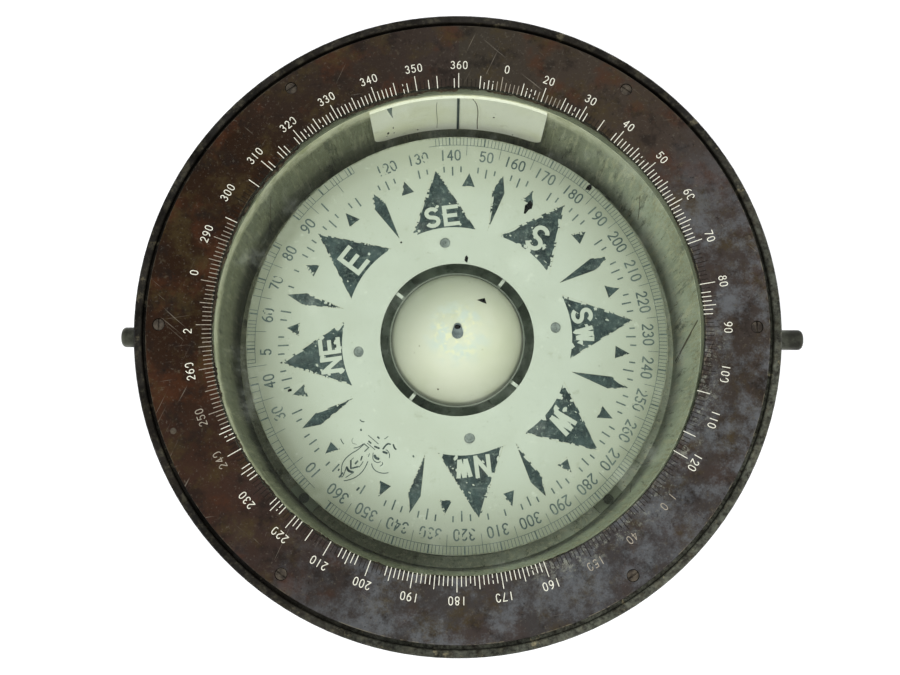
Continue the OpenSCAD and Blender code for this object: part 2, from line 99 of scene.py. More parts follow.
def placed(points, radius, angle):
    """Points drawn upright about an origin, set at a radius with their tops pointing outward."""
    a = math.radians(angle)
    s, c = math.sin(a), math.cos(a)
    return [((radius + v) * s + u * c, (radius + v) * c - u * s) for u, v in points]


def arc(x, y, rx, ry, start, end, steps=10):
    """Points of an elliptic arc, angles counterclockwise from +X."""
    angles = [math.radians(start + (end - start) * k / steps) for k in range(steps + 1)]
    return [(x + rx * math.cos(a), y + ry * math.sin(a)) for a in angles]


def ribbon(path, width, round_ends=True):
    """Outline of a stroke of even width along a path."""
    path = [Vector(p) for p in path]
    half = width / 2
    left, right = [], []
    for k, point in enumerate(path):
        before = (point - path[k - 1]).normalized() if k else None
        after = (path[k + 1] - point).normalized() if k + 1 < len(path) else None
        ahead = ((before or after) + (after or before)).normalized()
        across = Vector((-ahead.y, ahead.x))
        lean = max(0.5, ahead.dot(after or before))
        left.append(point + across * half / lean)
        right.append(point - across * half / lean)
    if round_ends:
        tip = (path[-1] - path[-2]).normalized() * half
        tail = (path[0] - path[1]).normalized() * half
        left += [path[-1] + tip * 0.8 + (left[-1] - path[-1]) * 0.6,
                 path[-1] + tip * 0.8 + (right[-1] - path[-1]) * 0.6]
        right = [path[0] + tail * 0.8 + (left[0] - path[0]) * 0.6,
                 path[0] + tail * 0.8 + (right[0] - path[0]) * 0.6] + right
        return [tuple(p) for p in left + right[:1:-1] + right[1::-1]]
    return [tuple(p) for p in left + right[::-1]]


def stepped(outline, step):
    """The same closed outline with its long edges divided."""
    result = []
    for k, point in enumerate(outline):
        follower = outline[(k + 1) % len(outline)]
        count = max(1, math.ceil(math.dist(point, follower) / step))
        for j in range(count):
            share = j / count
            result.append((point[0] + (follower[0] - point[0]) * share,
                           point[1] + (follower[1] - point[1]) * share))
    return result


def blob(rng, x, y, size, tall=1.0):
    """A small angular outline, such as a flake of paint, stretched upward by a factor."""
    count = rng.randint(6, 10)
    start = rng.uniform(0, TURN)
    points = []
    for k in range(count):
        a = start + TURN * (k + rng.uniform(-0.3, 0.3)) / count
        r = size * rng.uniform(0.45, 1)
        points.append((x + r * math.cos(a), y + r * math.sin(a) * tall))
    return points


def bites(rng, p, q, large, cover):
    """Flakes lost along the line from p to q: cover is the share of the line that they take."""
    start, line = Vector(p), Vector(q) - Vector(p)
    length = line.length
    ahead = line / length
    aside = Vector((-ahead.y, ahead.x))
    found = []
    travelled = rng.uniform(0, 2)
    while travelled < length:
        run = large * rng.choice((0.5, 0.8, 1.2, 2.2, 3.4))
        depth = large * rng.uniform(0.25, 1) * (0.7 if run > 2 * large else 1)
        steps = rng.randint(3, 5)
        edge = [start + ahead * (travelled + run * k / steps) + aside * depth * rng.uniform(0.3, 1)
                for k in range(1, steps)]
        back = [start + ahead * (travelled + run * k / 2) - aside * depth * rng.uniform(0.4, 1)
                for k in (2, 1, 0)]
        found.append([tuple(v) for v in [start + ahead * travelled, *edge, *back]])
        travelled += run / max(cover, 0.05) * rng.uniform(0.6, 1.4)
    return found


def divided(a, b, step):
    """Points along a straight line, no further apart than a step."""
    count = max(1, math.ceil(math.dist(a, b) / step))
    return [(a[0] + (b[0] - a[0]) * k / count, a[1] + (b[1] - a[1]) * k / count)
            for k in range(count + 1)]


def counterclockwise(loop):
    area = sum(a[0] * b[1] - b[0] * a[1] for a, b in zip(loop, loop[1:] + loop[:1]))
    return loop if area > 0 else loop[::-1]


def flat(adds, cuts=(), grid=None):
    """Triangles of the area inside any of the added outlines and outside all the cut ones."""
    loops = [counterclockwise(loop) for loop in (*adds, *cuts)]
    points, faces = [], []
    for loop in loops:
        faces.append(list(range(len(points), len(points) + len(loop))))
        points += [Vector(p) for p in loop]
    if grid:
        xs = [p[0] for loop in adds for p in loop]
        ys = [p[1] for loop in adds for p in loop]
        for i in range(int((max(xs) - min(xs)) / grid)):
            for j in range(int((max(ys) - min(ys)) / grid)):
                points.append(Vector((min(xs) + (i + 0.7) * grid, min(ys) + (j + 0.6) * grid)))
    made = delaunay_2d_cdt(points, [], faces, 0, 1e-5)
    verts, triangles, sources = made[0], made[2], made[5]
    kept = [
        t for t, inside in zip(triangles, sources)
        if any(i < len(adds) for i in inside) and not any(i >= len(adds) for i in inside)
    ]
    return [tuple(v) for v in verts], kept


# ---------------------------------------------------------------- surfaces that films lie on

def on_bezel(x, y, lift):
    return x, y, BEZEL_TOP + lift


def card_z(radius):
    return CARD_TOP - (radius - CARD_IN_R) * CARD_RISE / (CARD_R - CARD_IN_R)


def on_card(x, y, lift):
    """A point of the card's plan, drawn with its north along +Y, turned to the card's heading."""
    a = math.radians(HEADING)
    return (x * math.cos(a) + y * math.sin(a),
            -x * math.sin(a) + y * math.cos(a),
            card_z(math.hypot(x, y)) + lift)


def on_wall(radius):
    """Inside of an upright cylinder: across is measured round it from +Y, up is the height."""
    def surface(across, up, lift):
        x, y = polar(radius - lift, math.degrees(across / radius))
        return x, y, up
    return surface


def on_glass(x, y, lift):
    return x, y, GLASS_TOP + lift


DOME_H = DOME_TOP - DOME_FOOT
DOME_R = (FLOAT_R ** 2 + DOME_H ** 2) / (2 * DOME_H)


def on_dome(x, y, lift):
    return x, y, DOME_TOP - DOME_R + math.sqrt((DOME_R + lift) ** 2 - x * x - y * y)


# ---------------------------------------------------------------- mesh makers

def piece(name, verts, faces, material, body, sharp=35, slot=None, replaces=()):
    """A mesh given in millimetres that rides on a CAD body."""
    mesh = bpy.data.meshes.new(name)
    mesh.from_pydata([tuple(c * MM for c in v) for v in verts], [], faces)
    mesh.validate()
    mesh.shade_smooth()
    mesh.set_sharp_from_angle(angle=math.radians(sharp))
    mesh.materials.append(material)
    obj = bpy.data.objects.new(name, mesh)
    bpy.context.scene.collection.objects.link(obj)
    if body:
        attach(obj, body)
    if replaces:
        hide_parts(*replaces)
    return obj


def solid_films(shapes, surface, low, high):
    """Vertices and faces of thin closed solids, one for each flat shape, between two lifts."""
    verts, faces = [], []
    for points, triangles in shapes:
        used = sorted({i for t in triangles for i in t})
        order = {i: k for k, i in enumerate(used)}
        base, count = len(verts), len(used)
        verts += [surface(*points[i], high) for i in used]
        verts += [surface(*points[i], low) for i in used]
        rim = {}
        for t in triangles:
            top = [base + order[i] for i in t]
            faces.append(top)
            faces.append([i + count for i in reversed(top)])
            for k in range(3):
                a, b = top[k], top[(k + 1) % 3]
                if (b, a) in rim:
                    del rim[(b, a)]
                else:
                    rim[(a, b)] = True
        faces += [[b, a, a + count, b + count] for a, b in rim]
    return verts, faces


def film(name, shapes, surface, low, high, material, body, slot=None, replaces=()):
    verts, faces = solid_films([s for s in shapes if s[1]], surface, low, high)
    obj = piece(name, verts, faces, material, body, 40, slot, replaces)
    outward(obj.data)
    return obj


def band(inner, outer):
    """A flat ring between two closed lines with the same number of points."""
    count = len(inner)
    triangles = []
    for k in range(count):
        n = (k + 1) % count
        triangles += [(k, count + n, count + k), (k, n, count + n)]
    return inner + outer, triangles


def stood(shape, matrix):
    """Vertices and faces moved by a matrix whose shift is in millimetres."""
    verts, faces = shape
    return [tuple(matrix @ Vector(v)) for v in verts], faces


def joined(shapes):
    verts, faces = [], []
    for more_verts, more_faces in shapes:
        faces += [[i + len(verts) for i in face] for face in more_faces]
        verts += more_verts
    return verts, faces


def rounded(profile, steps=5):
    """A closed profile whose corners (radius, z, rounding) are turned into arcs."""
    result = []
    count = len(profile)
    for k, corner in enumerate(profile):
        here = Vector(corner[:2])
        rounding = corner[2] if len(corner) > 2 else 0
        if not rounding:
            result.append(tuple(here))
            continue
        before = (Vector(profile[k - 1][:2]) - here)
        after = (Vector(profile[(k + 1) % count][:2]) - here)
        start = here + before.normalized() * min(rounding, before.length / 2.01)
        end = here + after.normalized() * min(rounding, after.length / 2.01)
        for j in range(steps + 1):
            t = j / steps
            result.append(tuple(start * (1 - t) ** 2 + here * 2 * t * (1 - t) + end * t * t))
    return result


def lathe(profile, segments, wobble=None):
    """Vertices and faces of a closed profile of (radius, z) turned round the bowl's axis."""
    verts, faces, rings = [], [], []
    for radius, z in profile:
        if radius < 1e-6:
            rings.append([len(verts)] * segments)
            verts.append((0, 0, z))
            continue
        rings.append(list(range(len(verts), len(verts) + segments)))
        for k in range(segments):
            angle = 360 * k / segments
            r, h = wobble(radius, z, angle) if wobble else (radius, z)
            verts.append((*polar(r, angle), h))
    for inner, outer in zip(rings, rings[1:] + rings[:1]):
        for k in range(segments):
            n = (k + 1) % segments
            face = list(dict.fromkeys([inner[k], inner[n], outer[n], outer[k]]))
            if len(face) > 2:
                faces.append(face)
    return verts, faces


def outward(mesh):
    """Turns a closed mesh's faces to point outward."""
    work = bmesh.new()
    work.from_mesh(mesh)
    bmesh.ops.recalc_face_normals(work, faces=work.faces)
    work.to_mesh(mesh)
    work.free()


def carve(obj, cutter):
    """Cuts one closed object out of another and removes the cutter."""
    cut = obj.modifiers.new("carve", "BOOLEAN")
    cut.operation = "DIFFERENCE"
    cut.solver = "MANIFOLD"
    cut.object = cutter
    graph = bpy.context.evaluated_depsgraph_get()
    mesh = bpy.data.meshes.new_from_object(obj.evaluated_get(graph))
    obj.modifiers.clear()
    obj.data = mesh
    bpy.data.objects.remove(cutter)


# ---------------------------------------------------------------- materials

class Paint:
    """A node material being written: each method adds one node and returns its output."""

    def __init__(self, name):
        self.material = bpy.data.materials.new(name)
        self.material.use_nodes = True
        self.tree = self.material.node_tree
        self.shader = self.tree.nodes["Principled BSDF"]
        coordinates = self.tree.nodes.new("ShaderNodeTexCoord")
        self.place = coordinates.outputs["Object"]

    def add(self, kind, **inputs):
        node = self.tree.nodes.new(kind)
        for name, value in inputs.items():
            if not hasattr(node, name):
                raise KeyError(name)
            setattr(node, name, value)
        return node

    def put(self, node, key, value):
        socket = node.inputs[key]
        if isinstance(value, bpy.types.NodeSocket):
            self.tree.links.new(value, socket)
        else:
            socket.default_value = value

    def tint(self, node, key, colour):
        """Sets a colour input from a node's output or from a screen colour of 0 to 255."""
        self.put(node, key, colour if isinstance(colour, bpy.types.NodeSocket) else rgb(colour))

    def maths(self, operation, a, b=0.0):
        node = self.add("ShaderNodeMath", operation=operation)
        self.put(node, 0, a)
        self.put(node, 1, b)
        return node.outputs[0]

    def times(self, *values):
        result = values[0]
        for value in values[1:]:
            result = self.maths("MULTIPLY", result, value)
        return result

    def axes(self):
        """X, Y and Z in millimetres."""
        node = self.add("ShaderNodeSeparateXYZ")
        scale = self.add("ShaderNodeVectorMath", operation="SCALE")
        self.put(scale, 0, self.place)
        self.put(scale, "Scale", 1 / MM)
        self.put(node, 0, scale.outputs[0])
        return node.outputs

    def radius(self):
        x, y, _ = self.axes()
        return self.maths("SQRT", self.maths("ADD", self.times(x, x), self.times(y, y)))

    def turn(self):
        """Share of a full turn clockwise from +Y, 0 to 1."""
        x, y, _ = self.axes()
        angle = self.maths("ARCTAN2", self.times(x, -1), self.times(y, -1))
        return self.maths("ADD", self.maths("DIVIDE", angle, TURN), 0.5)

    def noise(self, size, detail=4, rough=0.55, warp=0, upright=1, shift=0):
        """Noise in patches of about size millimetres, taller where upright is under 1."""
        mapping = self.add("ShaderNodeMapping")
        self.put(mapping, "Vector", self.place)
        self.put(mapping, "Location", (shift, shift * 0.7, shift * 0.3))
        self.put(mapping, "Scale", (1, 1, upright))
        node = self.add("ShaderNodeTexNoise")
        self.put(node, "Vector", mapping.outputs[0])
        self.put(node, "Scale", 1 / (size * MM * 2))
        self.put(node, "Detail", detail)
        self.put(node, "Roughness", rough)
        self.put(node, "Distortion", warp)
        return node.outputs["Fac"]

    def scratches(self, angle, shift):
        """Sparse fine lines that run in one direction of the XY plane."""
        rotated = self.add("ShaderNodeMapping")
        self.put(rotated, "Vector", self.place)
        self.put(rotated, "Rotation", (0, 0, math.radians(angle)))
        squeezed = self.add("ShaderNodeMapping")
        self.put(squeezed, "Vector", rotated.outputs[0])
        self.put(squeezed, "Location", (shift, shift, 0))
        self.put(squeezed, "Scale", (1, 0.03, 1))
        node = self.add("ShaderNodeTexNoise")
        self.put(node, "Vector", squeezed.outputs[0])
        self.put(node, "Scale", 1 / (0.9 * MM))
        self.put(node, "Detail", 2)
        self.put(node, "Distortion", 0.4)
        lines = self.step(node.outputs["Fac"], 0.70, 0.76)
        return self.times(lines, self.step(self.noise(14, 3, shift=shift), 0.5, 0.62))

    def step(self, value, low, high, out_low=0.0, out_high=1.0):
        """A smooth ramp from out_low at low to out_high at high."""
        node = self.add("ShaderNodeMapRange", interpolation_type="SMOOTHSTEP")
        for key, number in zip(("Value", "From Min", "From Max", "To Min", "To Max"),
                               (value, low, high, out_low, out_high)):
            self.put(node, key, number)
        return node.outputs[0]

    def ramp(self, value, *stops):
        node = self.add("ShaderNodeValToRGB")
        self.put(node, 0, value)
        elements = node.color_ramp.elements
        while len(elements) < len(stops):
            elements.new(0.5)
        for element, (at, colour) in zip(elements, stops):
            element.position = at
            element.color = rgb(colour)
        return node.outputs[0]

    def mix(self, share, a, b):
        node = self.add("ShaderNodeMix", data_type="RGBA")
        self.put(node, "Factor", share)
        self.tint(node, 6, a)
        self.tint(node, 7, b)
        return node.outputs[2]

    def patches(self, under, tint, share, reach, size, detail, rough=0.55, **more):
        """A colour with a share of a tint over it where a noise rises through its reach."""
        cover = self.step(self.noise(size, detail, rough, **more), *reach)
        return self.mix(self.times(cover, share), under, tint)

    def layered(self, share, under, over):
        """Two shaders mixed."""
        node = self.add("ShaderNodeMixShader")
        for key, value in enumerate((share, under.outputs[0], over.outputs[0])):
            self.put(node, key, value)
        return node

    def finish(self, colour, roughness, bump=None, depth=0.1, **settings):
        self.tint(self.shader, "Base Color", colour)
        self.put(self.shader, "Roughness", roughness)
        for key, value in settings.items():
            self.put(self.shader, key.replace("_", " "), value)
        if bump is not None:
            node = self.add("ShaderNodeBump")
            self.put(node, "Height", bump)
            self.put(node, "Distance", depth * MM)
            self.put(node, "Strength", 1.0)
            self.put(self.shader, "Normal", node.outputs[0])
        return self.material


def rgb(colour):
    """A screen colour of 0 to 255 as the linear values that a shader takes."""
    shares = [c / 255 for c in colour]
    linear = [s / 12.92 if s <= 0.04045 else ((s + 0.055) / 1.055) ** 2.4 for s in shares]
    return (*linear, 1.0)


def bezel_material():
    """Chocolate enamel, grey and hazy on one side."""
    p = Paint("bezel_enamel")
    radius = p.radius()
    sweep = p.maths("ADD", p.turn(), p.times(p.maths("SUBTRACT", p.noise(30), 0.5), 0.12))
    base = p.ramp(sweep,
                  (0.00, (41, 37, 30)), (0.10, (45, 37, 30)), (0.18, (46, 40, 37)), (0.28, (40, 34, 29)),
                  (0.40, (44, 41, 40)), (0.50, (43, 40, 38)), (0.58, (35, 30, 27)), (0.66, (40, 25, 17)),
                  (0.75, (27, 14, 4)), (0.86, (27, 15, 5)), (1.00, (40, 33, 28)))
    haze_side = p.times(p.step(sweep, 0.10, 0.22), p.step(sweep, 0.66, 0.5))
    red = p.maths("SUBTRACT", 0.55, p.times(haze_side, 0.4))
    colour = p.patches(base, (56, 30, 14), red, (0.50, 0.64), 12, 7, 0.62, shift=3)
    colour = p.patches(colour, (17, 13, 10), 0.65, (0.50, 0.66), 6, 8, 0.7, shift=9)
    colour = p.patches(colour, (50, 41, 20), 0.7, (0.48, 0.68), 8, 9, 0.74, shift=21)
    haze = p.times(haze_side, 0.7)
    colour = p.patches(colour, (80, 83, 85), haze, (0.43, 0.64), 9, 9, 0.8, shift=5)
    colour = p.patches(colour, (70, 64, 50), 0.5, (0.58, 0.72), 2.2, 7, 0.75, shift=14)
    chalky = p.times(p.step(radius, 129, 118), p.step(sweep, 0.22, 0.28), p.step(sweep, 0.48, 0.42), 0.6)
    colour = p.patches(colour, (118, 120, 108), chalky, (0.51, 0.62), 1.6, 8, 0.8, shift=26)
    colour = p.patches(colour, (97, 92, 81), 0.22, (0.60, 0.68), 0.6, 3, 0.7, shift=2)
    colour = p.patches(colour, (9, 8, 6), 0.6, (0.62, 0.70), 0.8, 3, 0.7, shift=31)
    for angle, shift in ((25, 40), (-50, 55), (80, 70)):
        colour = p.mix(p.times(p.scratches(angle, shift), 0.5), colour, (112, 106, 94))
    # Pale edges: worn enamel and a painted highlight line along the bezel's rims, stronger on the hazy side.
    outer_edge = p.step(radius, BEZEL_R - 0.7, BEZEL_R - 0.2)
    inner_edge = p.step(radius, SIGHT_R + 0.7, SIGHT_R + 0.2)
    worn = p.times(p.maths("MAXIMUM", outer_edge, inner_edge),
                   p.maths("ADD", p.times(haze_side, 0.7), 0.3), 0.7)
    colour = p.patches(colour, (110, 104, 84), worn, (0.48, 0.58), 4, 6, 0.75, shift=7)
    below = p.step(p.axes()[2], BEZEL_TOP - 0.12, BEZEL_TOP - 0.2)
    colour = p.mix(p.times(below, 0.85), colour, (26, 23, 19))
    roughness = p.step(p.noise(7, 6, shift=4), 0.3, 0.7, 0.45, 0.68)
    bump = p.maths("ADD", p.noise(1.2, 6, 0.7), p.times(p.noise(9, 3), 1.5))
    return p.finish(colour, roughness, bump, 0.16, Specular_IOR_Level=0.14)


def scale_paint_material(name, colour, tone):
    p = Paint(name)
    shade = p.mix(p.step(p.noise(1.0, 5, 0.7), 0.4, 0.75), colour, tone)
    return p.finish(shade, 0.6, p.noise(0.4, 4), 0.04)


def bronze_material():
    """Bowl casting: blackened bronze outside, old cream enamel on the wall inside."""
    p = Paint("bowl_bronze")
    x, y, z = p.axes()
    worn_side = p.step(p.maths("ADD", p.times(x, 0.75 / 150), p.times(y, -0.65 / 150)), 0.0, 1.0)
    outside = p.mix(p.step(p.noise(14, 7, 0.65), 0.4, 0.62), (12, 9, 6), (24, 20, 15))
    green = p.times(p.step(z, LIP_TOP - 9, LIP_TOP - 5, 0.3, 1.0),
                    p.maths("ADD", p.times(worn_side, 0.65), 0.04))
    outside = p.patches(outside, (98, 101, 88), green, (0.34, 0.66), 1.2, 9, 0.8, shift=3)
    scrape = p.maths("ADD", p.times(worn_side, 0.6), 0.25)
    outside = p.patches(outside, (126, 118, 92), scrape, (0.60, 0.68), 4, 7, 0.75, upright=0.15, shift=8)
    outside = p.patches(outside, (84, 80, 64), 0.3, (0.60, 0.70), 0.8, 4, 0.7, shift=5)
    # Paler patches along the lip's top edge: rubbed metal and a painted highlight.
    crest = p.times(p.step(z, LIP_TOP - 0.5, LIP_TOP - 0.1), 0.2)
    outside = p.patches(outside, (92, 88, 70), crest, (0.50, 0.62), 3, 6, 0.75, shift=12)
    # Painted light, with partly paler enamel: the inner wall is lighter towards +X, on the side facing the
    # light. The crust and sandy patches follow the same side.
    right = p.step(p.maths("SUBTRACT", x, p.times(y, 0.35)), 0, 80)
    inside = p.mix(right, (114, 116, 92), (182, 189, 166))
    inside = p.patches(inside, (104, 108, 86), 0.5, (0.36, 0.66), 12, 8, 0.72, upright=0.2, shift=17)
    inside = p.patches(inside, (48, 52, 40), 0.7, (0.54, 0.66), 6, 9, 0.78, warp=0.2, upright=0.14, shift=11)
    crust = p.maths("ADD", p.times(right, 0.55), 0.25)
    inside = p.patches(inside, (192, 190, 158), crust, (0.50, 0.60), 1.3, 8, 0.8, upright=0.1, shift=6)
    inside = p.patches(inside, (46, 46, 34), 0.6, (0.55, 0.64), 1.2, 7, 0.8, upright=0.1, shift=36)
    sandy = p.times(right, p.step(z, 78, 106), 0.6)
    inside = p.patches(inside, (150, 142, 106), sandy, (0.46, 0.58), 0.9, 8, 0.8, upright=0.25, shift=39)
    waver = p.times(p.maths("SUBTRACT", p.noise(9, 7, 0.7, shift=23), 0.5), 22)
    upper = p.times(p.step(p.maths("ADD", z, waver), 100, 112),
                    p.step(p.maths("SUBTRACT", y, x), -70, 60, 0.12, 1.0))
    cream = p.mix(p.step(p.noise(5, 7, 0.7, shift=27), 0.42, 0.68), (214, 212, 184), (172, 172, 136))
    inside = p.mix(upper, inside, p.mix(right, cream, (186, 190, 168)))
    enamelled = p.times(p.step(p.radius(), 116.2, 115.6), p.step(z, 34.5, 36))
    colour = p.mix(enamelled, outside, inside)
    roughness = p.step(p.noise(6, 6, shift=2), 0.3, 0.7, 0.5, 0.8)
    bump = p.maths("ADD", p.noise(1.3, 7, 0.72), p.times(p.noise(10, 4, shift=3), 2))
    bare = p.step(p.noise(8, 6, 0.65, shift=3), 0.4, 0.6)
    metal = p.times(bare, p.maths("SUBTRACT", 1, enamelled), 0.5)
    return p.finish(colour, roughness, bump, 0.3, Metallic=metal, Specular_IOR_Level=0.3)


def card_material():
    """Pale green-grey card paint, with painted shade darkening it toward the rim except next to the lubber
    line.
    """
    p = Paint("card_paint")
    radius = p.radius()
    # Painted shade: the card darkens toward its rim, under the bowl's wall.
    base = p.mix(p.step(radius, 60, 108), (177, 183, 168), (155, 159, 141))
    base = p.patches(base, (162, 166, 148), 0.4, (0.35, 0.7), 20, 7, 0.6)
    base = p.patches(base, (138, 142, 120), 0.4, (0.58, 0.74), 4, 7, 0.72, shift=3)
    base = p.patches(base, (200, 204, 188), 0.4, (0.60, 0.72), 3, 6, 0.7, shift=44)
    base = p.patches(base, (104, 108, 90), 0.6, (0.66, 0.72), 0.6, 4, 0.65, shift=8)
    for angle, shift in ((35, 12), (-60, 25)):
        base = p.mix(p.times(p.scratches(angle, shift), 0.25), base, (140, 142, 118))
    # Painted shadow of the bowl's wall over the card's rim, left out next to the lubber line.
    rim_shade = p.times(p.step(radius, 95, 103), p.step(p.axes()[1], 104, 60), 0.8)
    base = p.patches(base, (134, 138, 118), rim_shade, (0.25, 0.5), 14, 7, 0.65, shift=51)
    # Painted shade: a dark ring on the card round the float's foot, between the parts.
    float_foot_shade = p.step(radius, FLOAT_R + 2.2, FLOAT_R + 1.2)
    base = p.mix(p.times(float_foot_shade, 0.85), base, (86, 92, 78))
    rim = p.times(p.step(radius, CARD_R - 1.2, CARD_R - 0.2), 0.7)
    base = p.patches(base, (96, 98, 74), rim, (0.40, 0.6), 2, 6, 0.75)
    bump = p.maths("ADD", p.noise(0.8, 6, 0.65), p.times(p.noise(14, 3), 2))
    roughness = p.step(p.noise(10, 4), 0.3, 0.7, 0.5, 0.65)
    return p.finish(base, roughness, bump, 0.05, Specular_IOR_Level=0.3)


def ink_material(name, dark, light, wear):
    """Slate print, thin enough in places for the card to show."""
    p = Paint(name)
    base = p.mix(p.step(p.noise(6, 7, 0.68), 0.36, 0.66), dark, light)
    base = p.patches(base, (118, 130, 120), wear, (0.50, 0.70), 1.1, 7, 0.78, shift=2)
    base = p.patches(base, (196, 200, 178), 0.6, (0.66, 0.72), 0.5, 4, 0.7, shift=5)
    return p.finish(base, 0.6, p.noise(0.5, 4), 0.03, Specular_IOR_Level=0.25)


def chip_material():
    p = Paint("bare_spot")
    base = p.mix(p.step(p.noise(1.2, 5, 0.7), 0.4, 0.7), (8, 9, 8), (22, 22, 19))
    return p.finish(base, 0.8, p.noise(0.5, 4), 0.05, Specular_IOR_Level=0.1)


def dome_material():
    """Cream enamel, with painted shade greying the side towards the lubber line."""
    p = Paint("float_enamel")
    x, y, z = p.axes()
    base = p.mix(p.step(p.noise(18, 6), 0.35, 0.7), (200, 200, 180), (190, 192, 166))
    # Painted shade: the dome darkens at its foot, where it meets the card.
    edge = p.step(p.radius(), FLOAT_R - 1.8, FLOAT_R - 0.6)
    base = p.mix(p.times(edge, 0.7), base, (84, 90, 76))
    # Painted shade: the dome greys towards +Y and -X, its side away from the light.
    grey = p.step(p.maths("ADD", p.times(y, 0.9), p.times(x, -0.45)), -12, 34)
    base = p.mix(p.times(grey, 0.6), base, (138, 146, 126))
    # Painted highlight: pale bluish clouds near the dome's top.
    top_highlight = p.times(p.step(z, DOME_TOP - 6, DOME_TOP - 0.5), 0.7)
    base = p.patches(base, (178, 190, 184), top_highlight, (0.42, 0.62), 3, 6, 0.65, shift=2)
    yellow = p.times(p.step(z, DOME_TOP - 4, DOME_TOP - 0.5), 0.6)
    base = p.patches(base, (214, 208, 160), yellow, (0.50, 0.62), 2, 6, 0.7, shift=5)
    base = p.patches(base, (176, 176, 144), 0.3, (0.58, 0.72), 6, 7, 0.7, shift=4)
    base = p.patches(base, (104, 104, 84), 0.5, (0.72, 0.77), 0.6, 3, 0.6, shift=8)
    bump = p.maths("ADD", p.noise(1.0, 5, 0.6), p.times(p.noise(16, 3), 3))
    return p.finish(base, 0.42, bump, 0.05, Specular_IOR_Level=0.35)


def cream_material(name, top, tone):
    """Old enamel or rubber with yellow and grey clouds."""
    p = Paint(name)
    base = p.mix(p.step(p.noise(16, 5), 0.35, 0.7), top, tone)
    base = p.patches(base, (168, 164, 122), 0.35, (0.58, 0.72), 3, 6, 0.7, shift=3)
    base = p.patches(base, (92, 88, 66), 0.4, (0.70, 0.76), 0.7, 3, 0.6, shift=8)
    return p.finish(base, 0.5, p.noise(1.5, 5, 0.6), 0.08)


def metal_material(name, base, tone, roughness=0.4, metallic=1.0, grain=3.0, tarnish=0.5):
    """Aged metal: two tones, darker tarnish in patches and a fine grain."""
    p = Paint(name)
    dark = [c * 0.45 for c in tone]
    colour = p.mix(p.step(p.noise(grain * 2, 5, 0.6), 0.35, 0.65), base, tone)
    colour = p.patches(colour, dark, tarnish, (0.52, 0.68), grain, 6, 0.7, shift=4)
    rough = p.step(p.noise(grain, 5, shift=2), 0.3, 0.7, roughness - 0.1, roughness + 0.15)
    return p.finish(colour, rough, p.noise(0.8, 5, 0.6), 0.06, Metallic=metallic)


def plain_material(name, base, tone, roughness=0.6, grain=4.0, depth=0.08, **settings):
    """A mottled matt material."""
    p = Paint(name)
    colour = p.mix(p.step(p.noise(grain, 6, 0.65), 0.35, 0.68), base, tone)
    return p.finish(colour, roughness, p.noise(grain * 0.3, 5, 0.6), depth, **settings)


def bridge_material():
    """Grey-green bronze, with painted light making it paler and evener out towards the bridge's feet, which
    sit in shade.
    """
    p = Paint("bridge_bronze")
    base = p.mix(p.step(p.noise(6, 5, 0.6), 0.35, 0.65), (136, 152, 128), (100, 114, 96))
    base = p.patches(base, (62, 70, 58), 0.55, (0.50, 0.64), 1.4, 7, 0.76, shift=4)
    # Painted light: the bridge is lifted to a pale even tone out towards its feet, where shade falls.
    feet = p.step(p.radius(), FLOAT_R + 12, FLOAT_R + 30)
    base = p.mix(p.times(feet, 0.95), base, (122, 128, 106))
    return p.finish(base, 0.65, p.noise(1.5, 5, 0.6), 0.05, Specular_IOR_Level=0.3)


def glass_material():
    """Clear glass without refraction, with a reflecting skin and faint dust."""
    p = Paint("clear_glass")
    clear = p.add("ShaderNodeBsdfTransparent")
    p.put(clear, "Color", (0.948, 0.966, 0.955, 1))
    gloss = p.add("ShaderNodeBsdfGlossy")
    p.put(gloss, "Roughness", 0.03)
    dust = p.add("ShaderNodeBsdfDiffuse")
    p.tint(dust, "Color", (214, 222, 206))
    glancing = p.maths("POWER", p.add("ShaderNodeLayerWeight").outputs["Facing"], 5)
    skin = p.layered(p.maths("ADD", p.times(glancing, 0.8), 0.012), clear, gloss)
    dusty = p.layered(p.step(p.noise(9, 7, 0.7), 0.52, 0.75, 0.0, 0.06), skin, dust)
    p.tree.nodes.remove(p.shader)
    output = next(n for n in p.tree.nodes if n.type == "OUTPUT_MATERIAL")
    p.put(output, "Surface", dusty.outputs[0])
    return p.material


def floor_material():
    p = Paint("pale_floor")
    colour = p.mix(p.step(p.noise(60, 3), 0.3, 0.7), (250, 250, 250), (246, 246, 246))
    return p.finish(colour, 0.9)


BEZEL_PAINT = bezel_material()
BRONZE = bronze_material()
GLASS = glass_material()
CARD_PAINT = card_material()
INK = ink_material("card_ink", (32, 43, 42), (60, 74, 72), 0.75)
PALE_INK = ink_material("card_fine_ink", (62, 76, 74), (92, 104, 98), 0.7)
GHOST_INK = ink_material("card_ghost_ink", (160, 160, 140), (182, 184, 162), 0.5)
BARE = chip_material()
DOME_PAINT = dome_material()
GASKET = cream_material("gasket_grey", (126, 130, 108), (98, 102, 82))
WALL_PAINT = cream_material("wall_enamel", (242, 241, 224), (230, 229, 200))
PIN_STEEL = metal_material("pin_steel", (84, 86, 74), (48, 48, 40), 0.5, 0.6, 2.5)
SCREW_METAL = metal_material("bezel_screw", (86, 78, 66), (44, 38, 32), 0.55, 0.5, 1.2)
BRASS = metal_material("aged_brass", (160, 132, 82), (112, 90, 54), 0.42)
PLUG_BRASS = metal_material("plug_brass", (104, 96, 68), (66, 62, 44), 0.5, 0.5, 2)
STUD_METAL = metal_material("stud_metal", (118, 126, 124), (84, 92, 92), 0.5, 0.3, 1.2)
RIVET_METAL = metal_material("rivet_metal", (134, 142, 134), (104, 112, 106), 0.55, 0.2, 1.0, 0.7)
BRIDGE_PAINT = bridge_material()
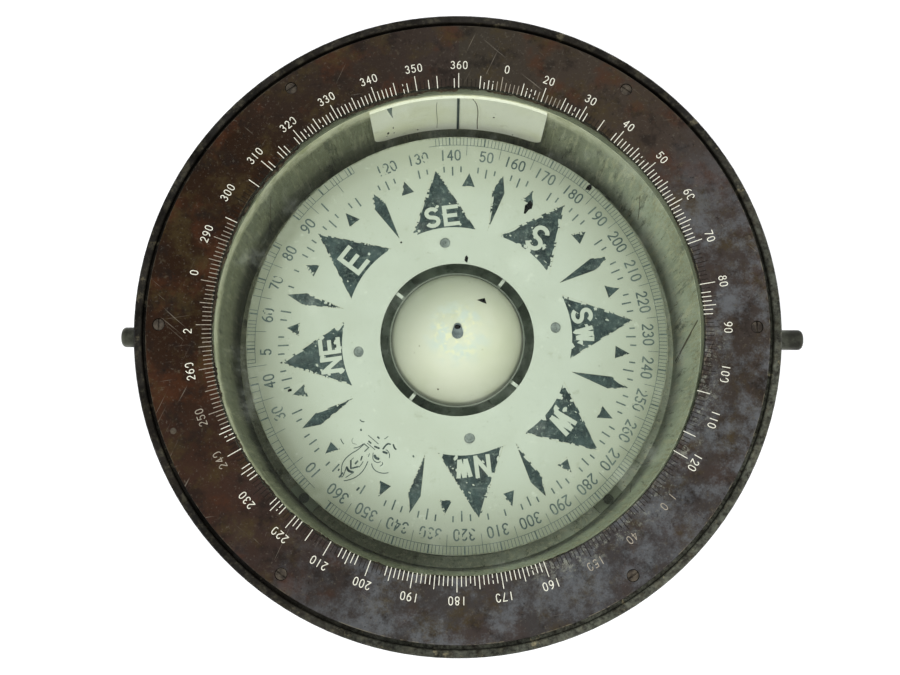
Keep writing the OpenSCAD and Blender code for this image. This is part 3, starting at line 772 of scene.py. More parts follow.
DARK_BRONZE = metal_material("dark_bronze", (78, 82, 66), (58, 62, 48), 0.6, 0.2)
DIAPHRAGM_BRASS = metal_material("diaphragm_brass", (166, 182, 156), (120, 134, 112), 0.5, 0.1, 2.5, 0.6)
MAGNET_STEEL = metal_material("magnet_steel", (86, 88, 90), (54, 56, 58), 0.4)
LEAD = plain_material("lead", (104, 106, 108), (134, 136, 138), 0.65, Metallic=0.5)
RUBY = plain_material("ruby", (150, 22, 40), (190, 40, 60), 0.15, 1.5, 0.01)
BLACK_LINE = plain_material("lubber_paint", (34, 44, 44), (64, 76, 74), 0.6, 3)
FIBRE = plain_material("washer_fibre", (120, 62, 44), (86, 46, 36), 0.8, 2)
BLACK_RUBBER = plain_material("black_rubber", (30, 30, 30), (48, 47, 44), 0.8, 3)
SEALANT_AND_SHADOW = plain_material("sealant_and_shadow", (32, 26, 20), (72, 64, 48), 0.8, 1.5)
WHITE_FILL = scale_paint_material("scale_white", (196, 195, 180), (164, 162, 146))
FADED_FILL = scale_paint_material("scale_faded", (138, 131, 116), (92, 86, 76))
CRACK = plain_material("crack", (66, 54, 38), (92, 84, 62), 0.8, 1.5, 0.02)
PLATE_CHIP = plain_material("plate_chip", (96, 108, 104), (124, 132, 124), 0.7, 1.5, 0.02)

NODE_LOOKS = {
    BRONZE: ["bowl", "clamp_ring", "bottom_cover"],
    PIN_STEEL: ["trunnion_pin_right", "trunnion_pin_left", "pivot_pin"],
    GASKET: ["lower_gasket", "upper_gasket"],
    GLASS: ["top_glass"],
    BEZEL_PAINT: ["bezel_ring"],
    SCREW_METAL: ["bezel_screws", "bezel_dowels"],
    WALL_PAINT: ["lubber_plate"],
    BLACK_LINE: ["lubber_line"],
    PLUG_BRASS: ["filler_plug", "clamp_screws", "cover_screws"],
    BRASS: ["magnet_carrier", "magnet_straps", "strap_screws", "jewel_holder", "pivot_stem",
            "stem_nut", "weight_screws"],
    FIBRE: ["filler_washer"],
    CARD_PAINT: ["card_disc", "card_frame"],
    STUD_METAL: ["float_stud"],
    RIVET_METAL: ["card_rivets"],
    DOME_PAINT: ["float_dome", "float_pan"],
    MAGNET_STEEL: ["magnets"],
    RUBY: ["jewel"],
    BRIDGE_PAINT: ["pivot_bridge"],
    DARK_BRONZE: ["bridge_screws"],
    BLACK_RUBBER: ["diaphragm_gasket"],
    DIAPHRAGM_BRASS: ["diaphragm", "diaphragm_plate"],
    LEAD: ["lead_weight"],
}


def dress_frame():
    for material, nodes in NODE_LOOKS.items():
        for node in nodes:
            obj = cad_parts[node]
            obj.data.materials.clear()
            obj.data.materials.append(material)


# ---------------------------------------------------------------- camera, light and floor

# Degrees of tilt and roll, then millimetres from the bezel's middle along the three camera axes
CAMERA_TILT = 7.37
CAMERA_ROLL = 0.24
CAMERA_DISTANCE = 582.0
VIEW_LEFT = 3.606
VIEW_BELOW = 5.455
CAMERA_LENS = 50.36


def camera():
    """The camera looks down from the lubber line's far side, a little off the axis."""
    tilt, roll = math.radians(CAMERA_TILT), math.radians(CAMERA_ROLL)
    right = Vector((1, 0, 0))
    up = Vector((0, math.cos(tilt), math.sin(tilt)))
    back = Vector((0, -math.sin(tilt), math.cos(tilt)))
    place = Vector((0, 0, BEZEL_TOP)) - right * VIEW_LEFT - up * VIEW_BELOW + back * CAMERA_DISTANCE
    turned_right = right * math.cos(roll) + up * math.sin(roll)
    turned_up = back.cross(turned_right)
    data = bpy.data.cameras.new("camera")
    data.lens = CAMERA_LENS
    data.sensor_width = 36
    data.clip_start = 0.01
    obj = bpy.data.objects.new("camera", data)
    obj.matrix_world = Matrix((
        (turned_right.x, turned_up.x, back.x, place.x * MM),
        (turned_right.y, turned_up.y, back.y, place.y * MM),
        (turned_right.z, turned_up.z, back.z, place.z * MM),
        (0, 0, 0, 1)))
    bpy.context.scene.collection.objects.link(obj)
    bpy.context.scene.camera = obj


def area_light(name, place, size, watts, glossy=True):
    data = bpy.data.lights.new(name, "AREA")
    data.shape = "DISK"
    data.size = size
    data.energy = watts
    obj = bpy.data.objects.new(name, data)
    obj.location = place
    obj.rotation_euler = (Vector(place) - Vector((0, 0, 0.1))).to_track_quat("Z", "Y").to_euler()
    obj.visible_glossy = glossy
    bpy.context.scene.collection.objects.link(obj)


def studio():
    world = bpy.data.worlds.new("studio")
    world.use_nodes = True
    sky = world.node_tree.nodes["Background"]
    sky.inputs["Color"].default_value = (0.95, 0.97, 1.0, 1)
    sky.inputs["Strength"].default_value = 0.55
    bpy.context.scene.world = world
    area_light("key", (-0.35, -0.42, 1.45), 1.1, 20, glossy=False)
    area_light("fill", (0.3, 0.25, 1.6), 1.2, 13, glossy=False)
    area_light("rim", (1.2, -0.2, 0.7), 0.7, 3)
    bpy.context.scene.view_settings.view_transform = "Standard"
    half = 3.0
    mesh = bpy.data.meshes.new("floor")
    corners = [(-half, -half, 0), (half, -half, 0), (half, half, 0), (-half, half, 0)]
    mesh.from_pydata(corners, [], [(0, 1, 2, 3)])
    mesh.materials.append(floor_material())
    floor = bpy.data.objects.new("floor", mesh)
    bpy.context.scene.collection.objects.link(floor)


# ---------------------------------------------------------------- lettering

def both(points):
    """A stroke and its mirror image left to right."""
    return [points, [(1 - x, y) for x, y in points]]


GLYPHS = {
    "0": both(arc(0.5, 0.66, 0.46, 0.34, 88, 180) + arc(0.5, 0.34, 0.46, 0.34, 180, 272)),
    "1": [[(0.5, 0), (0.5, 1)]],
    "2": [arc(0.5, 0.70, 0.44, 0.30, 165, -35) + [(0.04, 0.02)], [(0.04, 0), (0.98, 0)]],
    "3": [arc(0.46, 0.75, 0.40, 0.25, 155, -85), arc(0.46, 0.27, 0.48, 0.27, 85, -155)],
    "4": [[(0.74, 0), (0.74, 1)], [(0.74, 1), (0.02, 0.30)], [(0.02, 0.30), (1, 0.30)]],
    "5": [[(0.92, 1), (0.16, 1)], [(0.16, 1), (0.10, 0.55)], arc(0.46, 0.32, 0.48, 0.32, 140, -150)],
    "6": [arc(0.98, 0.34, 0.94, 0.70, 104, 182), *both(arc(0.5, 0.30, 0.46, 0.30, 88, 272))],
    "7": [[(0.02, 1), (0.98, 1)], [(0.98, 1), (0.36, 0)]],
    "8": [*both(arc(0.5, 0.77, 0.37, 0.23, 88, 272)), *both(arc(0.5, 0.27, 0.47, 0.27, 88, 272))],
    "N": [[(0, 0), (0, 1)], [(0, 1), (1, 0)], [(1, 0), (1, 1)]],
    "E": [[(0, 0), (0, 1)], [(0, 1), (1, 1)], [(0, 0.5), (0.85, 0.5)], [(0, 0), (1, 0)]],
    "S": [arc(0.5, 0.75, 0.45, 0.25, 20, 268, 12), arc(0.5, 0.25, 0.48, 0.25, 92, -155, 12)],
    "W": [[(0, 1), (0.25, 0)], [(0.25, 0), (0.5, 1)], [(0.5, 1), (0.75, 0)], [(0.75, 0), (1, 1)]],
}
GLYPHS["9"] = [[(1 - x, 1 - y) for x, y in stroke] for stroke in GLYPHS["6"]]


def lettering(text, radius, angle, height, width, stroke, gap, square=False):
    """Outlines of a short text set at a radius, tops outward; an underscore leaves a space."""
    shapes = []
    step = width + gap
    inset = stroke / 2 if square else 0
    for k, letter in enumerate(text):
        if letter == "_":
            continue
        left = (k - (len(text) - 1) / 2) * step - width / 2
        for path in GLYPHS[letter]:
            drawn = [(left + inset + x * (width - 2 * inset),
                      -height / 2 + inset + y * (height - 2 * inset)) for x, y in path]
            if square and len(path) == 2:
                ahead = (Vector(drawn[1]) - Vector(drawn[0])).normalized() * inset
                if min(abs(ahead.x), abs(ahead.y)) < 1e-6:
                    drawn = [tuple(Vector(drawn[0]) - ahead), tuple(Vector(drawn[1]) + ahead)]
            shapes.append(placed(ribbon(drawn, stroke, not square), radius, angle))
    return shapes


def tick(angle, r_from, r_to, width):
    """A straight mark along a radius."""
    half = width / 2
    return placed([(-half, r_from), (half, r_from), (half, r_to), (-half, r_to)], 0, angle)


def within(angle, spans):
    return any(low <= angle <= high for low, high in spans)


# ---------------------------------------------------------------- bezel

# Figures that have lost a part, and the spans of degrees whose marks still hold white or faded paint
BEZEL_NUMERALS = {10: "_0", 130: "1_0", 140: "_40", 280: "__0", 270: "2__"}
WHITE_TICKS = [
    (5, 8), (15, 18), (20, 20), (25, 31), (35, 35), (39, 70), (80, 80), (82, 87), (105, 105), (115, 115),
    (120, 120), (160, 196), (200, 200), (203, 207), (210, 210), (215, 215), (218, 220), (223, 226),
    (233, 236), (240, 240), (243, 246), (295, 295), (305, 305), (310, 311), (314, 316), (319, 330),
    (331, 345), (347, 348), (350, 350), (353, 353), (355, 355), (359, 360),
]
FADED_TICKS = [(9, 14), (19, 24), (247, 294)]
GREY_NUMERALS = (130, 140, 150, 240, 250)
CHIPPED_NUMERALS = (60, 100, 150, 170, 220, 240, 260, 320)
TEN_MARK, FIVE_MARK, ONE_MARK = 6.4, 5.3, 3.6
MARK_WIDTH = 0.37
FIGURE_R = 125.0
FIGURE = {"height": 3.55, "width": 1.85, "stroke": 0.42, "gap": 1.1}
ENGRAVED_DEPTH = 0.28
SCREW_ANGLES = (35, 90, 145, 215, 270, 325)
SCREW_CIRCLE_R = 138.4
SCREW_HOLE_R = 2.9
SCREW_HOLE_DEPTH = 2.4
# Angle and radius of each dowel
DOWEL_PLACES = ((72.7, 142.0), (249.3, 139.0))
DOWEL_HOLE_R = 1.52


def bezel_marks():
    """Outlines of the engraved degree scale: (filled with white, faded, bare)."""
    rng = random.Random(11)
    white, faded, bare = [], [], []
    inner = SIGHT_R - 0.4
    for angle in range(1, 361):
        length = TEN_MARK if angle % 10 == 0 else FIVE_MARK if angle % 5 == 0 else ONE_MARK
        length += rng.uniform(-0.15, 0.15)
        turned_by = angle + rng.uniform(-0.03, 0.03)
        mark = ([tick(turned_by, inner, SIGHT_R + 0.4 + length, MARK_WIDTH)], [])
        if within(angle, WHITE_TICKS):
            if angle % 5 and rng.random() < 0.14:
                chip = polar(SIGHT_R + rng.uniform(1, 4), angle)
                mark[1].append(blob(rng, *chip, rng.uniform(0.5, 1.1)))
            white.append(mark)
        elif within(angle, FADED_TICKS):
            faded.append(mark)
        else:
            bare.append(mark)
    for angle in range(10, 361, 10):
        text = BEZEL_NUMERALS.get(angle, str(angle))
        turned_by = angle + rng.uniform(-0.12, 0.12)
        shapes = lettering(text, FIGURE_R + rng.uniform(-0.1, 0.1), turned_by, **FIGURE)
        cuts = []
        if angle in CHIPPED_NUMERALS:
            x, y = polar(FIGURE_R - 0.6, angle + 0.9)
            cuts = [blob(rng, x + rng.uniform(-0.5, 0.5), y + rng.uniform(-0.5, 0.5), 1.5)]
        (faded if angle in GREY_NUMERALS else white).append((shapes, cuts))
    return white, faded, bare


def bezel():
    white, faded, bare = bezel_marks()
    recess_r, recess_z = GASKET_OUT_R + 0.7, BEZEL_TOP - 3
    profile = [
        (SIGHT_R, recess_z, 0.1), (SIGHT_R, BEZEL_TOP, 0.5), (BEZEL_R, BEZEL_TOP, 0.7),
        (BEZEL_R, BEZEL_FOOT, 0.2), (recess_r, BEZEL_FOOT, 0.2), (recess_r, recess_z, 0),
    ]
    chipping = random.Random(3)
    nicks = [max(0, chipping.gauss(0.05, 0.22)) for _ in range(720)]

    def chipped(radius, z, angle):
        nick = nicks[round(angle * 2) % 720] if radius < SIGHT_R + 0.6 and z > BEZEL_TOP - 1 else 0
        return radius + min(nick, 0.5), z

    verts, faces = lathe(rounded(profile), 720, chipped)
    ring = piece("bezel_ring_engraved", verts, faces, BEZEL_PAINT, "bowl",
                 slot="bezel_paint", replaces=["bezel_ring"])
    outward(ring.data)
    cuts = [flat(adds) for adds, _ in white + faded + bare]
    verts, faces = solid_films(cuts, on_bezel, -ENGRAVED_DEPTH, 0.4)
    for angle in SCREW_ANGLES:
        add_disc(verts, faces, polar(SCREW_CIRCLE_R, angle), SCREW_HOLE_R,
                 BEZEL_TOP - SCREW_HOLE_DEPTH, BEZEL_TOP + 0.4)
    for angle, radius in DOWEL_PLACES:
        add_disc(verts, faces, polar(radius, angle), DOWEL_HOLE_R, BEZEL_FOOT - 1, BEZEL_TOP + 0.4)
    cutter = piece("cutter", verts, faces, BEZEL_PAINT, None)
    outward(cutter.data)
    carve(ring, cutter)
    ring.data.set_sharp_from_angle(angle=math.radians(25))
    low = -ENGRAVED_DEPTH + 0.03
    film("scale_fill_white", [flat(a, c) for a, c in white], on_bezel, low, -0.03, WHITE_FILL, "bowl")
    film("scale_fill_faded", [flat(a, c) for a, c in faded], on_bezel, low, -0.1, FADED_FILL, "bowl")


def add_disc(verts, faces, centre, radius, low, high, segments=48):
    """Adds a closed upright cylinder to a list of vertices and faces."""
    base = len(verts)
    for z in (low, high):
        for x, y in arc(*centre, radius, radius, 0, 360 - 360 / segments, segments - 1):
            verts.append((x, y, z))
    faces.append([base + k for k in reversed(range(segments))])
    faces.append([base + segments + k for k in range(segments)])
    for k in range(segments):
        n = (k + 1) % segments
        faces.append([base + k, base + n, base + segments + n, base + segments + k])


# ---------------------------------------------------------------- card

def rf(share):
    """A radius on the card as a share of its rim's."""
    return share * CARD_R


# Foot of the degree marks, middle of the figures
BAND_R = rf(0.957)
NUMERAL_R = rf(0.905)
CARD_FIGURE = {"height": 5.3, "width": 2.7, "stroke": 0.8, "gap": 1.15}
ONE_LETTER = {"height": 14.5, "width": 9.5, "stroke": 2.3, "gap": 1, "square": True}
TWO_LETTERS = {"height": 11.2, "width": 8.2, "stroke": 2.1, "gap": 1.4, "square": True}


def card_ticks(rng):
    """Degree band at the rim, its ruled circle and the dividing lines between numerals."""
    shapes = []
    good = [(8, 81), (89, 111), (136, 360)]
    thin = [(8, 81), (89, 111)]
    for angle in range(1, 361):
        if not within(angle, good) or (within(angle, thin) and angle % 5 and rng.random() < 0.35):
            continue
        width = 0.75 if angle % 10 == 0 else 0.32
        shapes.append(([tick(angle, BAND_R, rf(0.997), width)], []))
    for angle in range(5, 360, 10):
        if within(angle, good):
            shapes.append(([tick(angle, NUMERAL_R, BAND_R, 0.28)], []))
    for low, high in [(6, 40), (46, 80), (90, 111), (134, 361)]:
        outer = [polar(rf(0.9585), low + k) for k in range(high - low + 1)]
        inner = [polar(rf(0.9560), low + k) for k in range(high - low + 1)]
        shapes.append(([outer + inner[::-1]], []))
    return shapes


# Figures of the card that have lost a part or are gone, and those with thin print
CARD_NUMERALS = {20: None, 50: "5_", 100: "1__", 110: None, 150: "_50"}
FAINT_NUMERALS = (30, 60, 70, 120, 130, 250, 260, 320, 330, 340)


def card_numerals(rng):
    shapes = []
    for angle in range(10, 361, 10):
        text = CARD_NUMERALS.get(angle, str(angle))
        if not text:
            continue
        letters = lettering(text, NUMERAL_R, angle, **CARD_FIGURE)
        cuts = []
        if angle in FAINT_NUMERALS:
            for _ in range(7):
                x, y = polar(NUMERAL_R + rng.uniform(-3, 3), angle + rng.uniform(-3, 3))
                cuts.append(blob(rng, x, y, rng.uniform(0.8, 1.7)))
        shapes.append((letters, cuts))
    return shapes


def minor_marks(rng):
    """Quarter-point marks between the rose's points."""
    shapes = []
    for k in range(32):
        for offset, length in ((2.8, 3.4), (5.6, 5.7), (8.4, 3.4)):
            angle = k * 11.25 + offset
            if rng.random() < 0.12:
                continue
            top = rf(0.845) + rng.uniform(-0.3, 0.3)
            mark = stepped(tick(angle, top - length * rng.uniform(0.8, 1), top, 0.75), 1.5)
            cuts = [blob(rng, *polar(top - length, angle + 0.5), 0.7)] if rng.random() < 0.4 else []
            shapes.append(([mark], cuts))
    return shapes


def small_triangles(rng):
    shapes = []
    for k in range(16):
        angle = 11.25 + 22.5 * k
        outline = placed([(0, rf(0.815)), (3.3, rf(0.746)), (-3.3, rf(0.746))], 0, angle)
        cuts = []
        for edge in rng.sample(range(3), rng.randint(1, 2)):
            cuts += bites(rng, outline[edge], outline[(edge + 1) % 3], rng.uniform(0.8, 2.2), 0.7)
        shapes.append(([outline], cuts))
    return shapes


def diamonds(rng):
    shapes = []
    for k in range(8):
        angle = 22.5 + 45 * k
        corners = [(0, rf(0.835)), (3.2, rf(0.745)), (0.2, rf(0.555)), (-3.2, rf(0.745))]
        outline = placed(corners, 0, angle)
        edge = rng.choice([0, 1, 2, 3])
        cuts = bites(rng, outline[edge], outline[(edge + 1) % 4], 2.0, 0.8)
        edge = (edge + 1) % 4
        cuts += bites(rng, outline[edge], outline[(edge + 1) % 4], 0.9, 0.6)
        shapes.append(([outline], cuts))
    return shapes


MAIN_POINTS = {45: "NE", 90: "E", 135: "SE", 180: "S", 225: "SW", 270: "W", 315: "NW"}
# How much paint each main point has lost along its left edge, right edge and base
POINT_WEAR = {
    45: (2, 3, 3), 90: (1, 1, 1), 135: (2, 1, 2), 180: (3, 3, 3), 225: (3, 1, 2), 270: (3, 2, 3),
    315: (3, 1, 2),
}
# Patches of print lost from the main points: share of the card's radius, degrees from the point, size
POINT_LOSSES = {
    45: [(0.57, -14, 2.2), (0.60, -12, 1.6), (0.56, -8, 1.8), (0.62, -8, 1.2), (0.55, 3, 1.4),
         (0.60, 6, 1.0), (0.56, 13, 1.8)],
    90: [(0.58, 14, 1.2), (0.69, 9, 1.0)],
    135: [(0.54, -15, 2.0), (0.57, -14, 1.2), (0.55, -12, 1.0), (0.66, 4, 0.6)],
    180: [(0.55, -16, 2.2), (0.56, -11, 1.0), (0.54, -5, 1.8), (0.545, 0, 2.0), (0.55, 5, 1.3),
          (0.54, 15, 2.0), (0.76, -3.2, 0.8), (0.66, 9, 1.2)],
    225: [(0.55, -16, 2.0), (0.58, 8, 2.0), (0.56, 3, 1.6), (0.54, 10, 1.8), (0.64, 5, 1.0),
          (0.60, 13, 1.0), (0.67, -6, 1.0)],
    270: [(0.55, -15, 2.2), (0.54, -9, 2.0), (0.56, -3, 2.4), (0.60, -5, 1.4), (0.54, 4, 2.2),
          (0.57, 15, 1.8), (0.61, 14, 1.2), (0.70, 9, 1.0)],
    315: [(0.54, 15, 2.0), (0.58, 15, 1.4), (0.62, 13, 1.2), (0.66, 11, 0.9), (0.55, 8, 1.2),
          (0.60, 9, 0.8), (0.73, 6, 0.9)],
}
# Half a main point's width in degrees, and the parts that its curved base is drawn in
POINT_HALF = 16.6
BASE_STEPS = 12


def main_points(rng):
    """The rose's large lettered triangles, with the letters left clear."""
    shapes = []
    for angle, text in MAIN_POINTS.items():
        base = []
        for k in range(BASE_STEPS + 1):
            bulge = 0.6 * math.sin(math.pi * k / BASE_STEPS)
            base.append(polar(rf(0.535) + bulge, angle + POINT_HALF - 2 * POINT_HALF * k / BASE_STEPS))
        apex = polar(rf(0.842), angle)
        if len(text) == 1:
            cuts = lettering(text, rf(0.622), angle, **ONE_LETTER)
        else:
            cuts = lettering(text, rf(0.598), angle, **TWO_LETTERS)
        left, right, foot = POINT_WEAR[angle]
        edges = ((apex, base[0], right), (base[0], base[-1], foot), (base[-1], apex, left))
        for start, end, wear in edges:
            cuts += bites(rng, start, end, 0.7 + 0.5 * wear, 0.35 + 0.2 * wear)
        worn = left + right + foot
        for _ in range(4 + 2 * worn):
            spot = polar(rf(rng.uniform(0.55, 0.72)), angle + rng.uniform(-11, 11))
            size = rng.choice((0.2, 0.3, 0.5, 0.8)) * (1 + 0.1 * worn)
            cuts.append(blob(rng, *spot, size, rng.uniform(0.2, 1.2)))
        for share, aside, size in POINT_LOSSES[angle]:
            cuts.append(blob(rng, *polar(rf(share), angle + aside), size, rng.uniform(0.7, 1.4)))
        shapes.append(([[apex, *base]], cuts))
    return shapes


# Strokes of the worn ornament at the card's north: width, then points drawn upright about its axis
NORTH_LINES = [
    # petal, outer and inner lines
    (0.45, [(-2.2, 75.4), (-3.0, 79), (-2.9, 82.5), (-1.8, 86), (0.2, 89), (1.4, 90.2)]),
    (0.45, [(3.6, 89.8), (5.6, 87), (7.2, 84.2), (7.5, 81), (6.8, 77.5), (5.6, 74.5), (4.9, 71.5),
            (4.6, 69.6)]),
    (0.4, [(3.2, 89.3), (3.7, 86.8), (4.4, 85)]),
    (0.4, [(1.7, 88.4), (0.9, 86.2), (0.3, 84.6)]),
    (0.4, [(-0.4, 80.2), (-0.5, 78.6), (-0.3, 76.8)]),
    (0.35, [(4.9, 80.2), (4.6, 78.4)]),
    # the petal's vein
    (0.8, [(0.1, 80.4), (2.4, 83.4)]),
    (0.8, [(4.8, 80.3), (2.4, 83.4)]),
    (1.2, [(0.4, 84.2), (2.6, 84.9), (4.4, 84.2)]),
    (0.9, [(2.1, 80.1), (2.0, 78.4)]),
    (0.7, [(1.0, 77.0), (1.6, 75.2)]),
    (0.55, [(2.1, 72.4), (1.8, 70.2)]),
    (0.5, [(1.6, 69.7), (4.7, 69.6)]),
    # band under the petal
    (0.35, [(-1.4, 68.6), (3.6, 68.4)]),
    (0.35, [(-1.0, 65.3), (5.6, 65.0)]),
    (0.9, [(-2.6, 66.8), (-0.4, 67.4)]),
    (0.8, [(2.2, 67.3), (3.6, 67.2)]),
    # left scroll
    (0.45, [(-13.7, 73.5), (-12.2, 75), (-10, 76.2), (-7.6, 76.6), (-5.6, 76), (-4.4, 75.1)]),
    (0.4, [(-7.3, 71.6), (-6.4, 72.8), (-5, 73.2), (-3.6, 72.9), (-2.6, 71.8), (-1.7, 70.4)]),
    (1.3, [(-5.6, 71.1), (-4.3, 71.5), (-3.2, 71.0)]),
    (0.4, [(-8.5, 73.4), (-8.9, 72), (-8.2, 71.3)]),
    (0.4, [(-9.6, 67.4), (-8.6, 66), (-7, 65.2), (-5.8, 65.3)]),
    (1.1, [(-7.2, 66.3), (-5.4, 66.9)]),
    (0.8, [(-4.4, 65.8), (-4.4, 64), (-4.7, 62.4), (-5.8, 61.8)]),
    (0.8, [(-9.6, 62), (-8.6, 61.9), (-7.2, 61)]),
    (0.35, [(-0.9, 73.4), (-0.5, 71.8)]),
    (0.35, [(-2.0, 61.5), (-2.6, 59.4)]),
    # right scroll
    (0.4, [(7.4, 74.4), (6.2, 73), (5.4, 71.4), (5.0, 69.9)]),
    (0.2, [(7.6, 72.2), (9.4, 72.9), (10.6, 72), (10.8, 70.8)]),
    (0.45, [(12.8, 76), (14.2, 75.6), (15.4, 75)]),
    (0.5, [(11.4, 61), (12.4, 61.6), (13.6, 61.5)]),
    (0.9, [(10.0, 65.3), (10.3, 65)]),
    (0.8, [(0.4, 62.9), (1.3, 62.8)]),
    (0.8, [(-18.9, 59.5), (-18.4, 59.3)]),
    (0.9, [(-6.6, 89.9), (-6.7, 88.4)]),
    (0.8, [(6.8, 87.9), (6.9, 87.3)]),
]


def curved(points, steps=4):
    """Points of a smooth line through the given ones."""
    if len(points) < 3:
        return points
    line = [Vector(p) for p in points]
    ends = [line[0] * 2 - line[1], *line, line[-1] * 2 - line[-2]]
    result = []
    for a, b, c, d in zip(ends, ends[1:], ends[2:], ends[3:]):
        for k in range(steps):
            t = k / steps
            result.append(0.5 * ((b * 2) + (c - a) * t + (a * 2 - b * 5 + c * 4 - d) * t * t
                                 + (b * 3 - a - c * 3 + d) * t ** 3))
    return [tuple(p) for p in [*result, line[-1]]]


def ghost_lines(shapes):
    """Faint lines left round printed shapes whose paint has flaked."""
    lines = []
    for outlines, cuts in shapes:
        if not cuts:
            continue
        for outline in outlines:
            closed = outline + outline[:1]
            for a, b in zip(closed, closed[1:]):
                if math.dist(a, b) > 3:
                    lines.append(ribbon(divided(a, b, 3), 0.22, False))
    return lines


# Bare spots of the card: angle, share of its radius, size, how tall for its width
CARD_CHIPS = [(35.5, 0.82, 1.0, 1.6), (169.8, 0.730, 2.7, 1.8), (148.5, 0.385, 1.5, 1.9),
              (182.5, 0.985, 1.6, 1.8), (112.5, 0.535, 0.7, 1.0)]


def card_prints():
    rng = random.Random(5)
    fine = card_ticks(rng) + card_numerals(rng) + minor_marks(rng)
    bold = small_triangles(rng) + diamonds(rng) + main_points(rng)
    film("card_degrees", [flat(a, c) for a, c in fine], on_card, 0.01, 0.05, PALE_INK, "card")
    film("card_rose", [flat(a, c, 3.0) for a, c in bold], on_card, 0.02, 0.06, INK, "card")
    ghosts = [flat([line]) for line in ghost_lines(bold)]
    film("card_ghost_lines", ghosts, on_card, 0.005, 0.02, GHOST_INK, "card")
    north = [flat([ribbon(curved(path), width)]) for width, path in NORTH_LINES]
    film("card_north", north, on_card, 0.01, 0.05, INK, "card")
    spots = [flat([placed(blob(rng, 0, 0, size, tall), rf(share), angle)])
             for angle, share, size, tall in CARD_CHIPS]
    film("card_bare_spots", spots, on_card, 0.06, 0.1, BARE, "card")


# ---------------------------------------------------------------- glass edge, wall and lubber plate

# Millimetres over the glass and towards -Y from its middle at which the camera stands
EYE_HEIGHT = 577
EYE_ASIDE = 80


def sealant_fringe():
    """Dark band on the glass along the bezel's edge as the camera sees it: a painted shadow line under the
    bezel, with the ragged outline of old residue.
    """
    rng = random.Random(21)
    lean = (BEZEL_TOP - GLASS_TOP) / EYE_HEIGHT
    inner, outer = [], []
    drift = 0.4
    for k in range(1080):
        angle = k / 3
        seen_edge = SIGHT_R + lean * (SIGHT_R + EYE_ASIDE * math.cos(math.radians(angle)))
        edge = min(seen_edge + 0.6, GASKET_IN_R - 0.02)
        drift = min(1.7, max(0.1, drift + rng.uniform(-0.3, 0.3)))
        # Painted shadow and residue together; the band is widest towards 300 degrees.
        shadow_and_residue = 0.75 + 0.5 * math.cos(math.radians(angle - 300))
        inner.append(polar(min(seen_edge, edge) - drift * shadow_and_residue * rng.uniform(0.7, 1), angle))
        outer.append(polar(edge, angle))
    film("sealant_fringe", [band(inner, outer)], on_glass, 0.005, 0.08, SEALANT_AND_SHADOW, "bowl")


PLATE_CRACK = [(7.0, 112.6), (8.6, 107), (9.6, 99), (10.0, 89), (9.9, 77), (10.3, 64)]
SIDE_CRACK = [(-10.5, 108), (-10.9, 96), (-10.6, 80), (-10.9, 66)]
LOST_EDGE = [(-35.4, 112.8), (-32.6, 112.9), (-33.1, 104), (-32.9, 95), (-34.2, 103)]
# Specks of the lubber plate: place along it, height, size, how tall for its width
PLATE_SPECKS = [(-36.7, 73, 0.9, 3.2), (-33.6, 80, 0.5, 4.5), (-33.4, 71, 0.7, 1.0), (-21, 67, 0.5, 2.0),
                (18.2, 87, 0.6, 2.6), (29, 64, 0.5, 2.0), (-37.5, 69, 0.4, 2.0)]
# Scratches of the wall: angles and heights of their ends, width
WALL_SCRATCHES = [(93.4, 87.0, 48, 108, 1.0), (92.0, 88.6, 60, 92, 1.2), (94.0, 91.6, 50, 66, 0.6),
                  (55, 52, 60, 92, 0.4), (128, 131, 50, 74, 0.4), (302, 306, 62, 96, 0.4)]


def wall_marks():
    """Cracks, chips and specks in the enamel of the lubber plate and the wall behind it."""
    rng = random.Random(8)
    plate = on_wall(PLATE_R)
    crack = curved(PLATE_CRACK, 8)
    cracks = [flat([ribbon(crack, 0.45)]), flat([ribbon(curved(SIDE_CRACK, 6), 0.2)])]
    film("plate_cracks", cracks, plate, 0.01, 0.06, CRACK, "bowl")
    ridge = [(u + 0.75, z) for u, z in crack]
    film("plate_ridge", [flat([ribbon(ridge, 0.7)])], plate, 0.0, 0.3, WALL_PAINT, "bowl")
    film("plate_chip", [flat([LOST_EDGE])], plate, 0.01, 0.06, PLATE_CHIP, "bowl")
    specks = [flat([blob(rng, *speck)]) for speck in PLATE_SPECKS]
    film("plate_specks", specks, plate, 0.01, 0.06, BARE, "bowl")
    lines = []
    for start, end, low, high, width in WALL_SCRATCHES:
        a, b = (math.radians(v) * GASKET_IN_R for v in (start, end))
        middle = ((a + b) / 2 + rng.uniform(-0.8, 0.8), (low + high) / 2)
        lines.append(flat([ribbon(curved([(a, low), middle, (b, high)], 6), width)]))
    film("wall_scratches", lines, on_wall(WALL_R), 0.01, 0.06, CRACK, "bowl")


# ---------------------------------------------------------------- float and rivets

RIVET_CIRCLE_R = 49.7
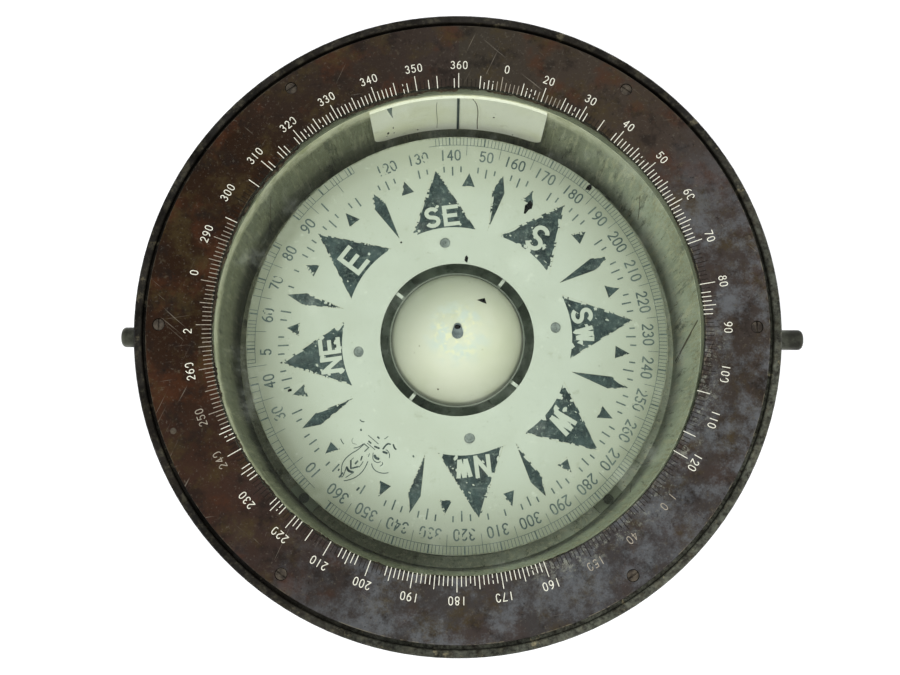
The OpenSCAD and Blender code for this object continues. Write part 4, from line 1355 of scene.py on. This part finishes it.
# Specks of the float's enamel: place and size
DOME_SPECKS = [(-18.5, -5.9, 0.4), (-9.4, -26.2, 0.5), (-21, -9, 0.3), (6, 27, 0.3), (12, -8, 0.25)]


def stud():
    """Keyhole-shaped plug soldered over the float's filling hole."""
    outline = arc(0, -0.3, 2.75, 2.75, 170, 370, 24) + arc(0, 2.7, 1.9, 1.9, 10, 170, 16)
    film("float_plug", [flat([outline], (), 1.0)], on_dome, -0.6, 0.7, STUD_METAL, "card",
         slot="rivet_metal", replaces=["float_stud"])
    film("float_plug_hole", [flat([arc(0, 2.6, 1.5, 1.1, 0, 345, 23)])], on_dome, 0.69, 0.78, BARE, "card")


def dome_marks():
    rng = random.Random(17)
    x, y = polar(20.6, 36)
    chip = [(x - 2.7, y + 0.1), (x - 0.6, y + 0.9), (x + 1.2, y + 1.5), (x + 2.1, y - 1.7),
            (x - 0.4, y - 0.9)]
    film("dome_chip", [flat([chip], (), 1.0)], on_dome, 0.01, 0.07, BARE, "card")
    specks = [flat([blob(rng, *speck)]) for speck in DOME_SPECKS]
    film("dome_specks", specks, on_dome, 0.01, 0.06, CRACK, "card")


def rivets():
    """Domed rivet heads with a struck centre, set square to the card."""
    profile = [(0, 0.42), (0.9, 0.42, 0.15), (1.25, 0.85, 0.2), (2.35, 0.8, 0.5), (2.75, 0, 0.2), (1.2, 0),
               (1.2, -2.6, 0.15), (0, -2.6)]
    shape = lathe(rounded(profile, 3), 48)
    slope = math.atan(CARD_RISE / (CARD_R - CARD_IN_R))
    places = []
    for k in range(4):
        angle = HEADING + 45 + 90 * k
        x, y = polar(RIVET_CIRCLE_R, angle)
        lean = Matrix.Rotation(slope, 4, Vector((*polar(1, angle + 90), 0)))
        places.append(stood(shape, Matrix.Translation((x, y, card_z(RIVET_CIRCLE_R))) @ lean))
    obj = piece("card_rivet_heads", *joined(places), RIVET_METAL, "card", 30, "rivet_metal", ["card_rivets"])
    outward(obj.data)


# ---------------------------------------------------------------- assembly

camera()
studio()
dress_frame()
bezel()
sealant_fringe()
wall_marks()
card_prints()
stud()
dome_marks()
rivets()
